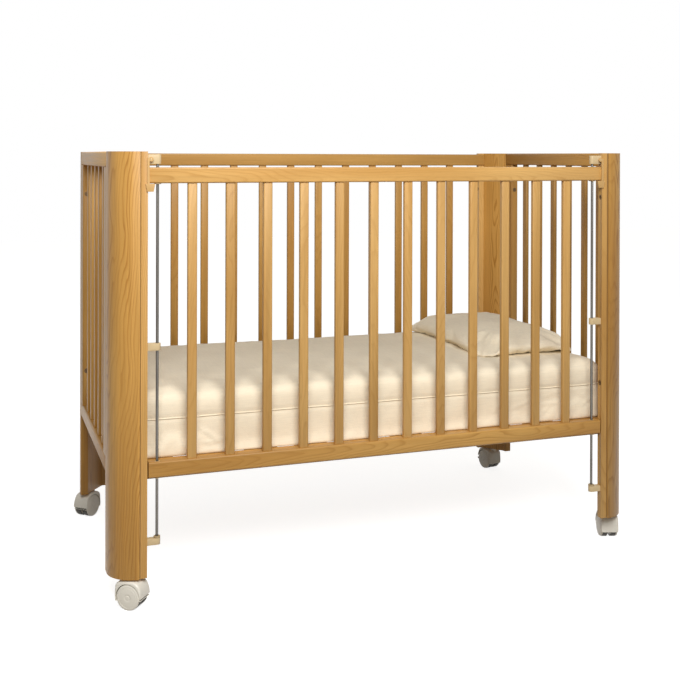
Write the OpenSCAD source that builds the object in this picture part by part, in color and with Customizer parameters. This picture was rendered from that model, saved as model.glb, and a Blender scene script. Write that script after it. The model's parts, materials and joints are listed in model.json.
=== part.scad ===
// Wooden crib with one drop side, on twin-wheel casters.
// X runs along its length, Y from the drop side (low) to the back (high), Z up from the floor.

/* [Overall] */
// Outer length, over the faces of the two ends
bed_l = 1240; // [1150:10:1360]
// Outer width, over the fronts of the corner posts
bed_w = 670; // [600:10:760]
// Height of the corner posts' tops above the floor
bed_h = 942; // [880:1:1040]

/* [Corner posts] */
// Radius of a post's rounded outer corner
post_r = 60; // [52:1:70]
// Depth of a post from the front face to the end of its nose
post_nose = 82; // [78:1:95]
// Thickness of a post's nose
nose_t = 20; // [17:1:24]
// Radius of the rounded edges at the end of the nose
nose_edge = 4; // [2:0.5:6]
// Width of the strip beside each post, along the bed
strip_w = 16; // [14:1:22]
// Thickness of the strip, front to back
strip_t = 16; // [14:1:19]
// How far the strip stands back from the post's front
strip_set = 4; // [3.6:0.1:6]

/* [Rails and slats] */
// Height of every rail
rail_h = 33; // [28:1:40]
// Thickness of the rails at the front and the back
rail_t = 20; // [18:1:24]
// Radius of the rails' rounded edges
rail_edge = 4; // [1:0.5:6]
// Height of the bottom rails' lower faces above the floor
low_rail_z = 267; // [250:1:290]
// How far the drop side's top rail lies below the post tops
drop_set = 33; // [32:1:45]
// How far the back's top rail lies below the post tops
back_set = 3; // [0:0.5:10]
// Width of a slat
slat_w = 20; // [16:1:28]
// Thickness of a slat
slat_t = 12; // [8:0.5:14]
// Clear gap between the long sides' slats
slat_gap = 61.8; // [45:0.1:65]
// Radius of the slats' rounded edges
slat_edge = 3; // [1:0.5:3.5]
// Number of slats in each end
end_slats = 5; // [4:1:6]
// Width of the ends' stiles
stile_w = 36; // [30:1:44]
// Length of the tenons on slats and stiles
tenon_l = 12; // [6:1:18]

/* [Drop side] */
// Gap between the drop side's ends and the strips
drop_gap = 3; // [2:0.5:5]
// Radius of a guide rod
rod_r = 3; // [2.5:0.25:4]
// Distance of the rods from the strips' inner faces
rod_inset = 21.5; // [19:0.5:26]
// Running clearance round rods, stems, pins and axles
fit = 0.05; // [0.03:0.01:0.09]
// Wall of the bushes that run on the rods
bush_wall = 2; // [1:0.25:3]
// Height of a bush's collar below its rail
bush_collar = 1.5; // [0.5:0.25:3]
// Height of the top brackets
top_bracket_h = 20; // [16:1:24]
// Distance of the top brackets below the post tops
top_bracket_set = 6; // [2:1:8]
// Height of the lower faces of the middle brackets above the floor
mid_bracket_z = 530; // [480:1:600]
// Height of the middle brackets
mid_bracket_h = 15; // [12:1:20]
// Height of the lower faces of the bottom brackets above the floor
low_bracket_z = 128; // [106:1:131]
// Height of the bottom brackets
low_bracket_h = 13; // [11:1:14]
// Thickness of a bracket, front to back
bracket_t = 14; // [12:0.5:15]
// Radius of the spigot that holds a bracket in its strip
spigot_r = 4; // [3:0.25:4.5]
// Length of that spigot
spigot_l = 10; // [8:0.5:12]
// Height of the rubber stop rings under the drop side
stop_h = 4; // [2:0.5:4.5]

/* [Catches] */
// Thickness of a catch lever
catch_t = 3.2; // [2.4:0.1:3.2]
// Width of a catch lever's web
catch_w = 5; // [4:0.25:6]
// Width of the hook block at its top
hook_w = 20; // [16:0.5:20]
// Height of the hook block
hook_h = 16.5; // [10:0.5:18]
// Radius of the pin that a catch turns on
catch_pin_r = 2; // [1.5:0.25:2.25]
// Radius of the eye round the pin
catch_eye_r = 5; // [4:0.25:6]

/* [Base] */
// Height of the base's top above the floor
base_top = 296; // [285:1:310]
// Height of the base in its upper setting
base_high = 560; // [480:1:580]
// Thickness of a base slat
lat_t = 8; // [6:1:12]
// Width of a base slat
lat_w = 70; // [40:5:90]
// Clear gap between base slats
lat_gap = 45; // [30:5:60]
// Height of a bearer
bearer_h = 28; // [24:1:32]
// Thickness of a bearer
bearer_t = 31; // [26:1:32]
// Width of the bearer's top that shows in front of the base slats
bearer_land = 22; // [14:1:24]
// Gap between that land and a base slat's end
lat_end_gap = 0.5; // [0.5:0.25:1]
// Clearance between the base and the panels
base_gap = 2; // [1:0.5:4]
// Clearance between the bearers' ends and the posts
bearer_gap = 1.5; // [1:0.5:4]
// Thickness of the corner irons
iron_t = 3; // [2:0.5:4]
// Length of an iron's leg along the bearer
iron_leg = 62; // [40:1:90]

/* [Fasteners] */
// Radius of a bolt's shank
bolt_r = 3; // [2.5:0.25:3.5]
// Radius of a bolt's head
bolt_head_r = 6; // [5:0.25:6.25]
// Height of a bolt's head
bolt_head_h = 3; // [2:0.25:4]
// Depth of the holes for bolts in the posts
post_bore = 24; // [18:1:28]
// Radius of the spare holes for the upper base setting
spare_r = 3.25; // [3:0.05:3.5]
// Height of the upper frame bolts above the floor
high_bolt_z = 836; // [800:1:846]
// Height of the lower frame bolts above the floor
low_bolt_z = 388; // [350:1:420]

/* [Casters] */
// Diameter of the wheels
wheel_d = 53; // [46:1:56]
// Width of one wheel
wheel_w = 16.6; // [14:0.1:20]
// Thickness of the tread
tread_t = 3; // [2:0.5:5]
// Gap on each side of the fork's middle web
wheel_gap = 1; // [0.5:0.25:2]
// Thickness of the fork's middle web
web_t = 6; // [5:0.5:8]
// Distance of the axle behind the stem
trail = 20; // [16:1:22]
// Gap between the tread and the hood
hood_gap = 1.2; // [0.8:0.1:2]
// Thickness of the hood over the wheels
hood_t = 5.5; // [3:0.1:7]
// Wall of the hood before and behind the wheels
hood_wall = 1.8; // [1.5:0.1:3]
// How far the hood's front bulges, from nothing at the axle's height
hood_bulge = 8; // [0:0.5:10]
// How far the hood's front comes down below the axle
hood_drop = 9; // [4:0.5:14]
// How far the hood's back comes down below the axle
hood_tail = 4; // [0:0.5:8]
// Thickness of the disc on the outside of each wheel
disc_t = 4.7; // [3:0.1:7]
// Gap between the hood and the post
neck_h = 3.3; // [2.5:0.1:8]
// Radius of the stem
stem_r = 5.5; // [4.5:0.25:6]
// Length of the stem in its socket
stem_l = 36; // [28:1:50]
// Wall of the socket in the post
socket_wall = 1.5; // [1:0.25:2.5]
// Thickness of the socket's flange
flange_t = 1.5; // [1:0.25:2]
// Radius of the axle
axle_r = 3; // [2.5:0.25:4]
// Direction in which the front left wheels trail, from +X
turn_front_left = -38; // [-60:1:-20]
// Direction in which the front right wheels trail, from +X
turn_front_right = 72; // [70:1:110]
// Direction in which the back left wheels trail, from +X
turn_back_left = -132; // [-150:1:-110]
// Direction in which the back right wheels trail, from +X
turn_back_right = 99; // [70:1:110]

/* [Bedding] */
// Gap between the mattress and the faces of the ends
bed_gap_x = 10; // [6:1:30]
// Gap between the mattress and the front and back faces of the crib
bed_gap_y = 45; // [42:1:60]
// Thickness of the mattress at its border
mattress_h = 136; // [100:1:150]
// Height of the crown on the mattress
crown_h = 4; // [1:0.5:10]
// Radius of the mattress's upper edge
mattress_edge = 24; // [14:1:30]
// Radius of the mattress's corners
mattress_r = 42; // [40:1:70]
// Height of the seam round the mattress, as a share of its thickness
seam_share = 0.59; // [0.3:0.01:0.7]
// Width of the seam's groove
seam_w = 7; // [4:0.5:10]
// Depth of the seam's groove
seam_d = 3; // [1:0.5:5]
// Width of the pillow, along the bed
pillow_l = 292; // [240:1:320]
// Length of the pillow, across the bed
pillow_w = 490; // [400:1:520]
// Thickness of the pillow at its middle
pillow_h = 57; // [40:1:90]
// Height of the pillow's seam over the mattress
pillow_seam = 10; // [6:1:20]
// How far the pillow's sides draw in between its corners
pillow_draw = 6; // [2:1:20]
// Gap between the pillow and the crib's end
pillow_gap = 26; // [20:1:60]
// Gap between the pillow and the back of the mattress
pillow_back = 4; // [0:1:60]
// Gap under each soft piece
rest_gap = 0.3; // [0.3:0.05:0.5]

/* [Hidden] */

// Colours
wood = [0.85, 0.67, 0.42];
dark_wood = [0.72, 0.54, 0.32];
steel = [0.45, 0.45, 0.47];
cream = [0.89, 0.86, 0.78];
dark_rubber = [0.25, 0.25, 0.26];
cloth = [0.92, 0.88, 0.78];

// Overall places
half_l = bed_l / 2;
half_w = bed_w / 2;
wheel_r = wheel_d / 2;
hood_in = wheel_r + hood_gap;
hood_top = hood_in + hood_t;
post_z = wheel_r + hood_top + neck_h;
post_h = bed_h - post_z;

// Corners, as signs along X and Y
front_left = [-1, -1];
front_right = [1, -1];
back_left = [-1, 1];
back_right = [1, 1];
corners = [front_left, front_right, back_left, back_right];
sides = [-1, 1];

// Small steps: past a cut face, between a bolt's end and its hole's, and round a tenon
cut = 1;
bolt_spare = 2;
shoulder = 3;
stile_edge = 2;

// A post's section: p runs inward from the end face, q inward from the front face
strip_back = strip_set + strip_t;
nose_flat = 8;
diag_q = post_nose - nose_flat;
diag_v = [post_r - nose_t, strip_back - diag_q];
diag_len = norm(diag_v);
diag_n = [diag_v[1], -diag_v[0]] / diag_len;
function diag_p(q) = nose_t + (diag_q - q) * diag_v[0] / (diag_q - strip_back);

// Post, strip and drop side along X
strip_in = half_l - post_r - strip_w;
drop_x = strip_in - drop_gap;
rod_x = strip_in - rod_inset;
rod_q = strip_set + rail_t / 2;
rail_front = strip_set;
bush_r = rod_r + fit + bush_wall;

// Levels
rod_set = 2;
low_rail_top = low_rail_z + rail_h;
drop_rail_z = bed_h - drop_set - rail_h;
back_rail_z = bed_h - back_set - rail_h;
end_rail_z = bed_h - rail_h;
top_bracket_z = bed_h - top_bracket_set - top_bracket_h;
rod_z = low_bracket_z + rod_set;
rod_top = top_bracket_z + top_bracket_h - rod_set;

// Slats
slat_pitch = slat_w + slat_gap;
long_count = round(2 * rod_x / slat_pitch) - 1;
end_span = bed_w - 2 * (post_nose + stile_w);
end_pitch = (end_span + slat_w) / (end_slats + 1);
tenon_w = slat_w - 2 * shoulder;
tenon_t = slat_t / 2;
end_slat_t = min(slat_t, nose_t) - 2;
end_mid = half_l - nose_t / 2;
stile_y = half_w - post_nose - stile_w / 2;
stile_tenon_w = stile_w - 4 * shoulder;

// Base
base_front = strip_set + rail_t + base_gap;
bearer_z = base_top - lat_t - bearer_h;
bearer_back = base_front + bearer_t;
bearer_x = half_l - diag_p(base_front) - bearer_gap;
lat_pitch = lat_w + lat_gap;
lat_margin = 6;
lat_count = floor((2 * (bearer_x - lat_margin) - lat_w) / lat_pitch) + 1;
base_bolt_q = (bearer_back + iron_t + diag_q) / 2;
base_bolt_z = bearer_z + bearer_h / 2;
spare_bolt_z = base_bolt_z + base_high - base_top;
iron_edge = 0.5;
iron_end_q = diag_q - iron_edge;
strip_bore = post_bore - 3;

// Casters
stem_p = 33;
stem_q = 34;
socket_r = stem_r + fit + socket_wall;
socket_l = stem_l + 3;
socket_hole = socket_l + 2;
flange_lap = 3;
hub_w = web_t / 2 + wheel_gap;
disc_set = 0.4;
boss_wall = 4;
neck_low = wheel_r + 15;
neck_wall = 2;
neck_gap = 0.5;

$fn = 48;

// Puts a child that is drawn in p and q at one corner of the crib
module at_corner(c) {
    mirror([c[0] > 0 ? 1 : 0, 0, 0]) mirror([0, c[1] > 0 ? 1 : 0, 0])
        translate([-half_l, -half_w, 0]) children();
}

module soft_rect(w, h, r) {
    square([w - 2 * r, h], center = true);
    square([w, h - 2 * r], center = true);
    for (x = sides, y = sides) translate([x * (w / 2 - r), y * (h / 2 - r)]) circle(r, $fn = 24);
}

// A bar along X, centred on its section
module bar_x(length, depth, height, edge) {
    rotate([90, 0, 90]) linear_extrude(length, center = true) soft_rect(depth, height, edge);
}

// A bar along Y, centred on its section
module bar_y(length, depth, height, edge) {
    rotate([90, 0, 0]) linear_extrude(length, center = true) soft_rect(depth, height, edge);
}

// Corner posts
module post_section() {
    difference() {
        union() {
            intersection() {
                translate([post_r, post_r]) circle(post_r, $fn = 96);
                square([post_r, post_r]);
            }
            translate([0, post_r]) square([post_r, diag_q - post_r]);
            translate([0, post_r]) square([nose_t, post_nose - nose_edge - post_r]);
            translate([nose_edge, post_r]) square([nose_t - 2 * nose_edge, post_nose - post_r]);
            for (p = [nose_edge, nose_t - nose_edge])
                translate([p, post_nose - nose_edge]) circle(nose_edge, $fn = 24);
        }
        polygon([[nose_t, post_nose + cut], [nose_t, diag_q], [post_r, strip_back],
                 [post_r + cut, strip_back], [post_r + cut, post_nose + cut]]);
    }
}

// A rod square to the post's sloping inner face, starting at depth in front of that face
module square_to_slope(q, z, out, length, r) {
    translate([diag_p(q), q, z]) rotate([0, 0, atan2(diag_n[1], diag_n[0])])
        translate([-out, 0, 0]) rotate([0, 90, 0]) cylinder(length, r = r, $fn = 32);
}

module post(c) {
    color(wood) at_corner(c) difference() {
        translate([0, 0, post_z]) linear_extrude(post_h) post_section();
        translate([stem_p, stem_q, post_z - cut]) cylinder(socket_hole + cut, r = socket_r);
        for (z = [low_bolt_z, high_bolt_z]) {
            translate([nose_t / 2, post_nose + cut, z]) rotate([90, 0, 0])
                cylinder(post_bore + cut, r = bolt_r + fit);
            translate([post_r + cut, strip_set + strip_t / 2, z]) rotate([0, -90, 0])
                cylinder(strip_bore + cut, r = bolt_r + fit);
        }
        square_to_slope(base_bolt_q, base_bolt_z, cut, post_bore + cut, bolt_r + fit);
        square_to_slope(base_bolt_q, spare_bolt_z, cut, post_bore + cut, spare_r);
    }
}

module post_front_left() post(front_left);
module post_front_right() post(front_right);
module post_back_left() post(back_left);
module post_back_right() post(back_right);

// The brackets on each front strip, as levels and heights
brackets = [[low_bracket_z, low_bracket_h], [mid_bracket_z, mid_bracket_h],
            [top_bracket_z, top_bracket_h]];

module strip(c) {
    color(wood) at_corner(c) difference() {
        translate([post_r, strip_set, post_z]) cube([strip_w, strip_t, post_h]);
        for (z = [low_bolt_z, high_bolt_z]) translate([post_r - cut, strip_set + strip_t / 2, z])
            rotate([0, 90, 0]) {
                cylinder(strip_w + 2 * cut, r = bolt_r + fit);
                translate([0, 0, strip_w + cut - bolt_head_h])
                    cylinder(bolt_head_h + cut, r = bolt_head_r + fit);
            }
        if (c[1] < 0) for (b = brackets)
            translate([post_r + strip_w + cut, rod_q, b[0] + b[1] / 2]) rotate([0, -90, 0])
                cylinder(spigot_l + bolt_spare + cut, r = spigot_r + fit, $fn = 32);
    }
}

module strip_front_left() strip(front_left);
module strip_front_right() strip(front_right);
module strip_back_left() strip(back_left);
module strip_back_right() strip(back_right);

// A slat with a tenon at each end, standing on z with its middle at the origin
module slat(z0, z1, w, t) {
    translate([0, 0, z0]) linear_extrude(z1 - z0) soft_rect(w, t, min(slat_edge, t / 3));
    translate([0, 0, (z0 + z1) / 2])
        cube([w - 2 * shoulder, t / 2, z1 - z0 + 2 * tenon_l], center = true);
}

function long_xs() = [for (i = [0 : long_count - 1]) (i - (long_count - 1) / 2) * slat_pitch];
function end_ys() = [for (i = [0 : end_slats - 1]) (i - (end_slats - 1) / 2) * end_pitch];

// A rail of a long side, with mortises for the slats on its face towards the slats
module long_rail(length, y, z, up) {
    color(wood) difference() {
        translate([0, y, z + rail_h / 2]) bar_x(length, rail_t, rail_h, rail_edge);
        for (x = long_xs()) translate([x, y, up > 0 ? z + rail_h : z])
            cube([tenon_w, tenon_t, 2 * tenon_l], center = true);
    }
}

// Back panel: its rails are notched at the ends, so that they lap over the strips
back_y = half_w - strip_set - rail_t / 2;
module back_rail(z, up) {
    color(wood) difference() {
        long_rail(2 * (half_l - post_r), back_y, z, up);
        for (s = sides)
            translate([s * (strip_in + (strip_w + cut) / 2), half_w - strip_back / 2, z + rail_h / 2])
                cube([strip_w + cut, strip_back, rail_h + 2 * cut], center = true);
    }
}
module back_top_rail() back_rail(back_rail_z, -1);
module back_bottom_rail() back_rail(low_rail_z, 1);
module back_slats() {
    color(dark_wood) for (x = long_xs())
        translate([x, back_y, 0]) slat(low_rail_top, back_rail_z, slat_w, slat_t);
}

// End panels
module end_rail(side, z, up) {
    face = up > 0 ? z + rail_h : z;
    color(wood) difference() {
        translate([side * end_mid, 0, z + rail_h / 2])
            bar_y(bed_w - 2 * post_nose, nose_t, rail_h, rail_edge);
        for (y = end_ys()) translate([side * end_mid, y, face])
            cube([end_slat_t / 2, tenon_w, 2 * tenon_l], center = true);
        for (s = sides) translate([side * end_mid, s * stile_y, face])
            cube([nose_t / 2, stile_tenon_w, 2 * tenon_l], center = true);
    }
}

module end_stiles(side) {
    mid_z = (low_rail_top + end_rail_z) / 2;
    stile_h = end_rail_z - low_rail_top;
    color(wood) for (s = sides) difference() {
        translate([side * end_mid, s * stile_y, 0]) {
            translate([0, 0, low_rail_top]) linear_extrude(stile_h) soft_rect(nose_t, stile_w, stile_edge);
            translate([0, 0, mid_z])
                cube([nose_t / 2, stile_tenon_w, stile_h + 2 * tenon_l], center = true);
        }
        for (z = [low_bolt_z, high_bolt_z])
            translate([side * end_mid, s * (half_w - post_nose + cut), z]) rotate([s * 90, 0, 0]) {
                cylinder(stile_w + 2 * cut, r = bolt_r + fit);
                translate([0, 0, stile_w + cut - bolt_head_h])
                    cylinder(bolt_head_h + cut, r = bolt_head_r + fit);
            }
    }
}

module end_slats(side) {
    color(dark_wood) for (y = end_ys())
        translate([side * end_mid, y, 0]) rotate([0, 0, 90])
            slat(low_rail_top, end_rail_z, slat_w, end_slat_t);
}

module left_end_top_rail() end_rail(-1, end_rail_z, -1);
module left_end_bottom_rail() end_rail(-1, low_rail_z, 1);
module left_end_stiles() end_stiles(-1);
module left_end_slats() end_slats(-1);
module right_end_top_rail() end_rail(1, end_rail_z, -1);
module right_end_bottom_rail() end_rail(1, low_rail_z, 1);
module right_end_stiles() end_stiles(1);
module right_end_slats() end_slats(1);

// Base under the mattress
module base_bearers() {
    color(dark_wood) for (side = sides) mirror([0, side > 0 ? 1 : 0, 0])
        translate([-bearer_x, -half_w + base_front, bearer_z]) difference() {
            cube([2 * bearer_x, bearer_t, bearer_h + lat_t]);
            translate([-cut, bearer_land, bearer_h])
                cube([2 * (bearer_x + cut), bearer_t - bearer_land + cut, lat_t + cut]);
        }
}

module base_slats() {
    color(dark_wood) for (i = [0 : lat_count - 1])
        translate([(i - (lat_count - 1) / 2) * lat_pitch, 0, base_top - lat_t / 2])
            cube([lat_w, bed_w - 2 * (base_front + bearer_land + lat_end_gap), lat_t], center = true);
}

module iron_outline() {
    slope_t = iron_t * diag_len / (diag_q - strip_back);
    leg_q = bearer_back;
    polygon([
        [diag_p(leg_q), leg_q],
        [diag_p(iron_end_q), iron_end_q],
        [diag_p(iron_end_q) - iron_t * diag_n[0], iron_end_q - iron_t * diag_n[1]],
        [diag_p(leg_q + iron_t) + slope_t, leg_q + iron_t],
        [diag_p(leg_q) + slope_t + iron_leg, leg_q + iron_t],
        [diag_p(leg_q) + slope_t + iron_leg, leg_q]
    ]);
}

module base_irons() {
    color(steel) for (c = corners) at_corner(c) difference() {
        translate([0, 0, bearer_z]) linear_extrude(bearer_h) iron_outline();
        square_to_slope(base_bolt_q, base_bolt_z, iron_t + cut, iron_t + 2 * cut, bolt_r + fit);
    }
}

module base_bolts() {
    color(steel) for (c = corners) at_corner(c) {
        square_to_slope(base_bolt_q, base_bolt_z, iron_t, iron_t + post_bore - bolt_spare, bolt_r);
        square_to_slope(base_bolt_q, base_bolt_z, iron_t + bolt_head_h, bolt_head_h, bolt_head_r);
    }
}

// Bolts through the ends' stiles into the posts
module end_bolts() {
    color(steel) for (c = corners, z = [low_bolt_z, high_bolt_z]) at_corner(c)
        translate([nose_t / 2, post_nose + stile_w, z]) rotate([90, 0, 0]) {
            cylinder(bolt_head_h, r = bolt_head_r);
            cylinder(stile_w + post_bore - bolt_spare, r = bolt_r);
        }
}

// Bolts through the strips into the posts
module strip_bolts() {
    color(steel) for (c = corners, z = [low_bolt_z, high_bolt_z]) at_corner(c)
        translate([post_r + strip_w, strip_set + strip_t / 2, z]) rotate([0, -90, 0]) {
            cylinder(bolt_head_h, r = bolt_head_r);
            cylinder(strip_w + strip_bore - bolt_spare, r = bolt_r);
        }
}

// Guide rods and what holds them
module guide_rods() {
    color(steel) for (s = sides)
        translate([s * rod_x, -half_w + rod_q, rod_z]) cylinder(rod_top - rod_z, r = rod_r, $fn = 32);
}

module rod_stops() {
    stop_wall = 4;
    color(dark_rubber) for (s = sides)
        translate([s * rod_x, -half_w + rod_q, low_bracket_z + low_bracket_h]) difference() {
            cylinder(stop_h, r = rod_r + stop_wall, $fn = 32);
            translate([0, 0, -cut]) cylinder(stop_h + 2 * cut, r = rod_r + fit, $fn = 32);
        }
}

// A bracket on a front strip: an arm round the rod, with a round spigot let into the strip
module bracket(side, z, h) {
    arm = strip_in - rod_x;
    translate([0, -half_w + rod_q, 0]) difference() {
        union() {
            translate([side * (rod_x + arm / 2), 0, z + h / 2]) cube([arm, bracket_t, h], center = true);
            translate([side * rod_x, 0, z]) cylinder(h, d = bracket_t);
            translate([side * (strip_in - cut), 0, z + h / 2]) rotate([0, side * 90, 0])
                cylinder(spigot_l + cut, r = spigot_r, $fn = 32);
        }
        translate([side * rod_x, 0, z - cut]) cylinder(h + 2 * cut, r = rod_r + fit, $fn = 32);
    }
}

// The pin in a top bracket that its catch turns on
pin_x = strip_in - 6;
pin_end = 0.2;
catch_z = top_bracket_z + top_bracket_h / 2;
module catch_post(side) {
    translate([side * pin_x, -half_w + rod_q - bracket_t / 2, catch_z])
        rotate([90, 0, 0]) cylinder(rod_q - bracket_t / 2 - pin_end, r = catch_pin_r, $fn = 32);
}

module top_brackets() {
    color(cream) for (s = sides) {
        bracket(s, top_bracket_z, top_bracket_h);
        catch_post(s);
    }
}
module middle_brackets() {
    color(cream) for (s = sides) bracket(s, mid_bracket_z, mid_bracket_h);
}
module bottom_brackets() {
    color(cream) for (s = sides) bracket(s, low_bracket_z, low_bracket_h);
}

// Drop side
drop_y = -half_w + rod_q;
module drop_rail(z, up) {
    color(wood) difference() {
        long_rail(2 * drop_x, drop_y, z, up);
        for (s = sides) translate([s * rod_x, drop_y, z - cut])
            cylinder(rail_h + 2 * cut, r = bush_r, $fn = 32);
    }
}
module drop_top_rail() drop_rail(drop_rail_z, -1);
module drop_bottom_rail() drop_rail(low_rail_z, 1);
module drop_slats() {
    color(wood) for (x = long_xs())
        translate([x, drop_y, 0]) slat(low_rail_top, drop_rail_z, slat_w, slat_t);
}
module drop_bushes() {
    collar_lap = 2;
    color(cream) for (s = sides, z = [low_rail_z, drop_rail_z])
        translate([s * rod_x, drop_y, z]) difference() {
            union() {
                cylinder(rail_h, r = bush_r, $fn = 32);
                translate([0, 0, -bush_collar]) cylinder(bush_collar, r = bush_r + collar_lap, $fn = 32);
            }
            translate([0, 0, -bush_collar - cut])
                cylinder(rail_h + bush_collar + 2 * cut, r = rod_r + fit, $fn = 32);
        }
}

// Catch lever: an eye on the bracket's pin, a web past the rail's end and a tapered hook block
module catch_lever(side) {
    half_web = 3;
    web_low = strip_in - half_web;
    web_high = web_low + catch_w;
    shoulder_z = catch_z + half_web;
    corner = 1.5;
    eye_lap = 2.5;
    hook_out = strip_in + 5.5;
    hook_in = hook_out - hook_w;
    hook_taper = 3.5;
    hook_top = drop_rail_z - 0.5;
    hook_low = hook_top - hook_h;
    color(wood) translate([0, -half_w + rail_front - 0.4, 0]) rotate([90, 0, 0])
        mirror([side < 0 ? 1 : 0, 0, 0]) difference() {
            union() {
                translate([pin_x, catch_z, 0]) cylinder(catch_t, r = catch_eye_r, $fn = 32);
                linear_extrude(catch_t)
                    polygon([[pin_x + eye_lap, shoulder_z], [web_high - corner, shoulder_z],
                             [web_high, shoulder_z - corner], [web_high, hook_top],
                             [hook_out, hook_top], [hook_out - hook_taper, hook_low],
                             [hook_in + hook_taper, hook_low], [hook_in, hook_top],
                             [web_low, hook_top], [web_low, catch_z - half_web],
                             [pin_x + eye_lap, catch_z - half_web]]);
            }
            translate([pin_x, catch_z, -cut]) cylinder(catch_t + 2 * cut, r = catch_pin_r + fit, $fn = 32);
        }
}
module catch_left() catch_lever(-1);
module catch_right() catch_lever(1);

// Casters: the fork's own frame has the stem at the origin and the wheels trailing along X
module at_caster(c, turn) {
    translate([c[0] * (half_l - stem_p), c[1] * (half_w - stem_q), 0]) rotate([0, 0, turn]) children();
}

// The hood's side is a rounded square that leans out over the front of the wheels. Its front
// comes lower than its back. The wheels' pockets leave a web of the same outline between them.
module hood_section() {
    round_power = 0.68;
    difference() {
        polygon([for (i = [0 : 71]) let (c = cos(5 * i), s = sin(5 * i), lean = c < 0 ? max(0, s) : 0) [
            (hood_in + hood_wall + hood_bulge * lean) * sign(c) * pow(abs(c), round_power),
            hood_top * sign(s) * pow(abs(s), round_power)]]);
        translate([-2 * hood_top, -3 * hood_top]) square([4 * hood_top, 3 * hood_top - hood_drop]);
        translate([0, -3 * hood_top]) square([2 * hood_top, 3 * hood_top - hood_tail]);
    }
}

module fork(c, turn) {
    hood_w = 2 * (hub_w + wheel_w);
    color(cream) at_caster(c, turn) difference() {
        union() {
            translate([trail, 0, wheel_r]) rotate([90, 0, 0]) {
                linear_extrude(hood_w, center = true) hood_section();
                linear_extrude(web_t, center = true) circle(axle_r + boss_wall);
            }
            translate([0, 0, neck_low])
                cylinder(post_z - flange_t - neck_gap - neck_low, r = stem_r + neck_wall);
            translate([0, 0, neck_low]) cylinder(post_z - neck_low + stem_l, r = stem_r);
        }
        translate([trail, hood_w, wheel_r]) rotate([90, 0, 0]) cylinder(2 * hood_w, r = axle_r + fit);
        for (s = sides) translate([trail, s * (web_t / 2 + (wheel_w + wheel_gap + cut) / 2), wheel_r])
            rotate([90, 0, 0]) cylinder(wheel_w + wheel_gap + cut, r = hood_in, center = true);
    }
}

// Both wheels of a caster, each drawn with its axis along Z and its outer side up
module wheel_pair(c, turn) {
    at_caster(c, turn) for (s = sides)
        translate([trail, s * hub_w, wheel_r]) rotate([-s * 90, 0, 0]) children();
}

module wheels(c, turn) {
    color(cream) wheel_pair(c, turn) difference() {
        union() {
            cylinder(wheel_w, r = wheel_r - tread_t, $fn = 96);
            translate([0, 0, wheel_w - disc_t]) cylinder(disc_t, r = wheel_r - disc_set, $fn = 96);
        }
        translate([0, 0, -cut]) cylinder(wheel_w + 2 * cut, r = axle_r + fit);
    }
}

module treads(c, turn) {
    color(dark_rubber) wheel_pair(c, turn) difference() {
        cylinder(wheel_w - disc_t, r = wheel_r, $fn = 96);
        translate([0, 0, -cut]) cylinder(wheel_w + 2 * cut, r = wheel_r - tread_t, $fn = 96);
    }
}

module axle(c, turn) {
    color(steel) at_caster(c, turn) translate([trail, 0, wheel_r]) rotate([90, 0, 0])
        cylinder(2 * (hub_w + wheel_w) - cut, r = axle_r, center = true);
}

module caster_sockets() {
    color(steel) for (c = corners) at_corner(c) translate([stem_p, stem_q, post_z]) difference() {
        union() {
            cylinder(socket_l, r = socket_r);
            translate([0, 0, -flange_t]) cylinder(flange_t, r = socket_r + flange_lap);
        }
        translate([0, 0, -flange_t - cut]) cylinder(stem_l + flange_t + 2 * cut, r = stem_r + fit);
    }
}

module caster_front_left_fork() fork(front_left, turn_front_left);
module caster_front_left_wheels() wheels(front_left, turn_front_left);
module caster_front_left_treads() treads(front_left, turn_front_left);
module caster_axles_front_left() axle(front_left, turn_front_left);
module caster_front_right_fork() fork(front_right, turn_front_right);
module caster_front_right_wheels() wheels(front_right, turn_front_right);
module caster_front_right_treads() treads(front_right, turn_front_right);
module caster_axles_front_right() axle(front_right, turn_front_right);
module caster_back_left_fork() fork(back_left, turn_back_left);
module caster_back_left_wheels() wheels(back_left, turn_back_left);
module caster_back_left_treads() treads(back_left, turn_back_left);
module caster_axles_back_left() axle(back_left, turn_back_left);
module caster_back_right_fork() fork(back_right, turn_back_right);
module caster_back_right_wheels() wheels(back_right, turn_back_right);
module caster_back_right_treads() treads(back_right, turn_back_right);
module caster_axles_back_right() axle(back_right, turn_back_right);

// Soft pieces: stacked closed outlines, joined ring by ring
arc_steps = 5;
long_steps = 6;
short_steps = 4;

// One corner's arc and the straight run after it, for a rounded rectangle with drawn-in sides
function run(a, b, steps) = [for (i = [1 : steps - 1]) a + (b - a) * i / steps];
function arc(cx, cy, r, from) = [for (i = [0 : arc_steps]) let (a = from + 90 * i / arc_steps)
    [cx + r * cos(a), cy + r * sin(a)]];
function outline(hx, hy, r) = let (cx = hx - r, cy = hy - r) concat(
    arc(cx, cy, r, 0), run([cx, hy], [-cx, hy], long_steps),
    arc(-cx, cy, r, 90), run([-hx, cy], [-hx, -cy], short_steps),
    arc(-cx, -cy, r, 180), run([-cx, -hy], [cx, -hy], long_steps),
    arc(cx, -cy, r, 270), run([hx, -cy], [hx, cy], short_steps));

// Draws the sides of an outline in between its corners by up to d
function draw_in(p, hx, hy, d) = [
    p[0] - sign(p[0]) * d * (1 - pow(min(1, abs(p[1]) / hy), 2)) * pow(min(1, abs(p[0]) / hx), 4),
    p[1] - sign(p[1]) * d * (1 - pow(min(1, abs(p[0]) / hx), 2)) * pow(min(1, abs(p[1]) / hy), 4)];

function ring(hx, hy, r, z, d) =
    [for (p = outline(hx, hy, r)) let (q = draw_in(p, hx, hy, d)) [q[0], q[1], z]];

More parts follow.
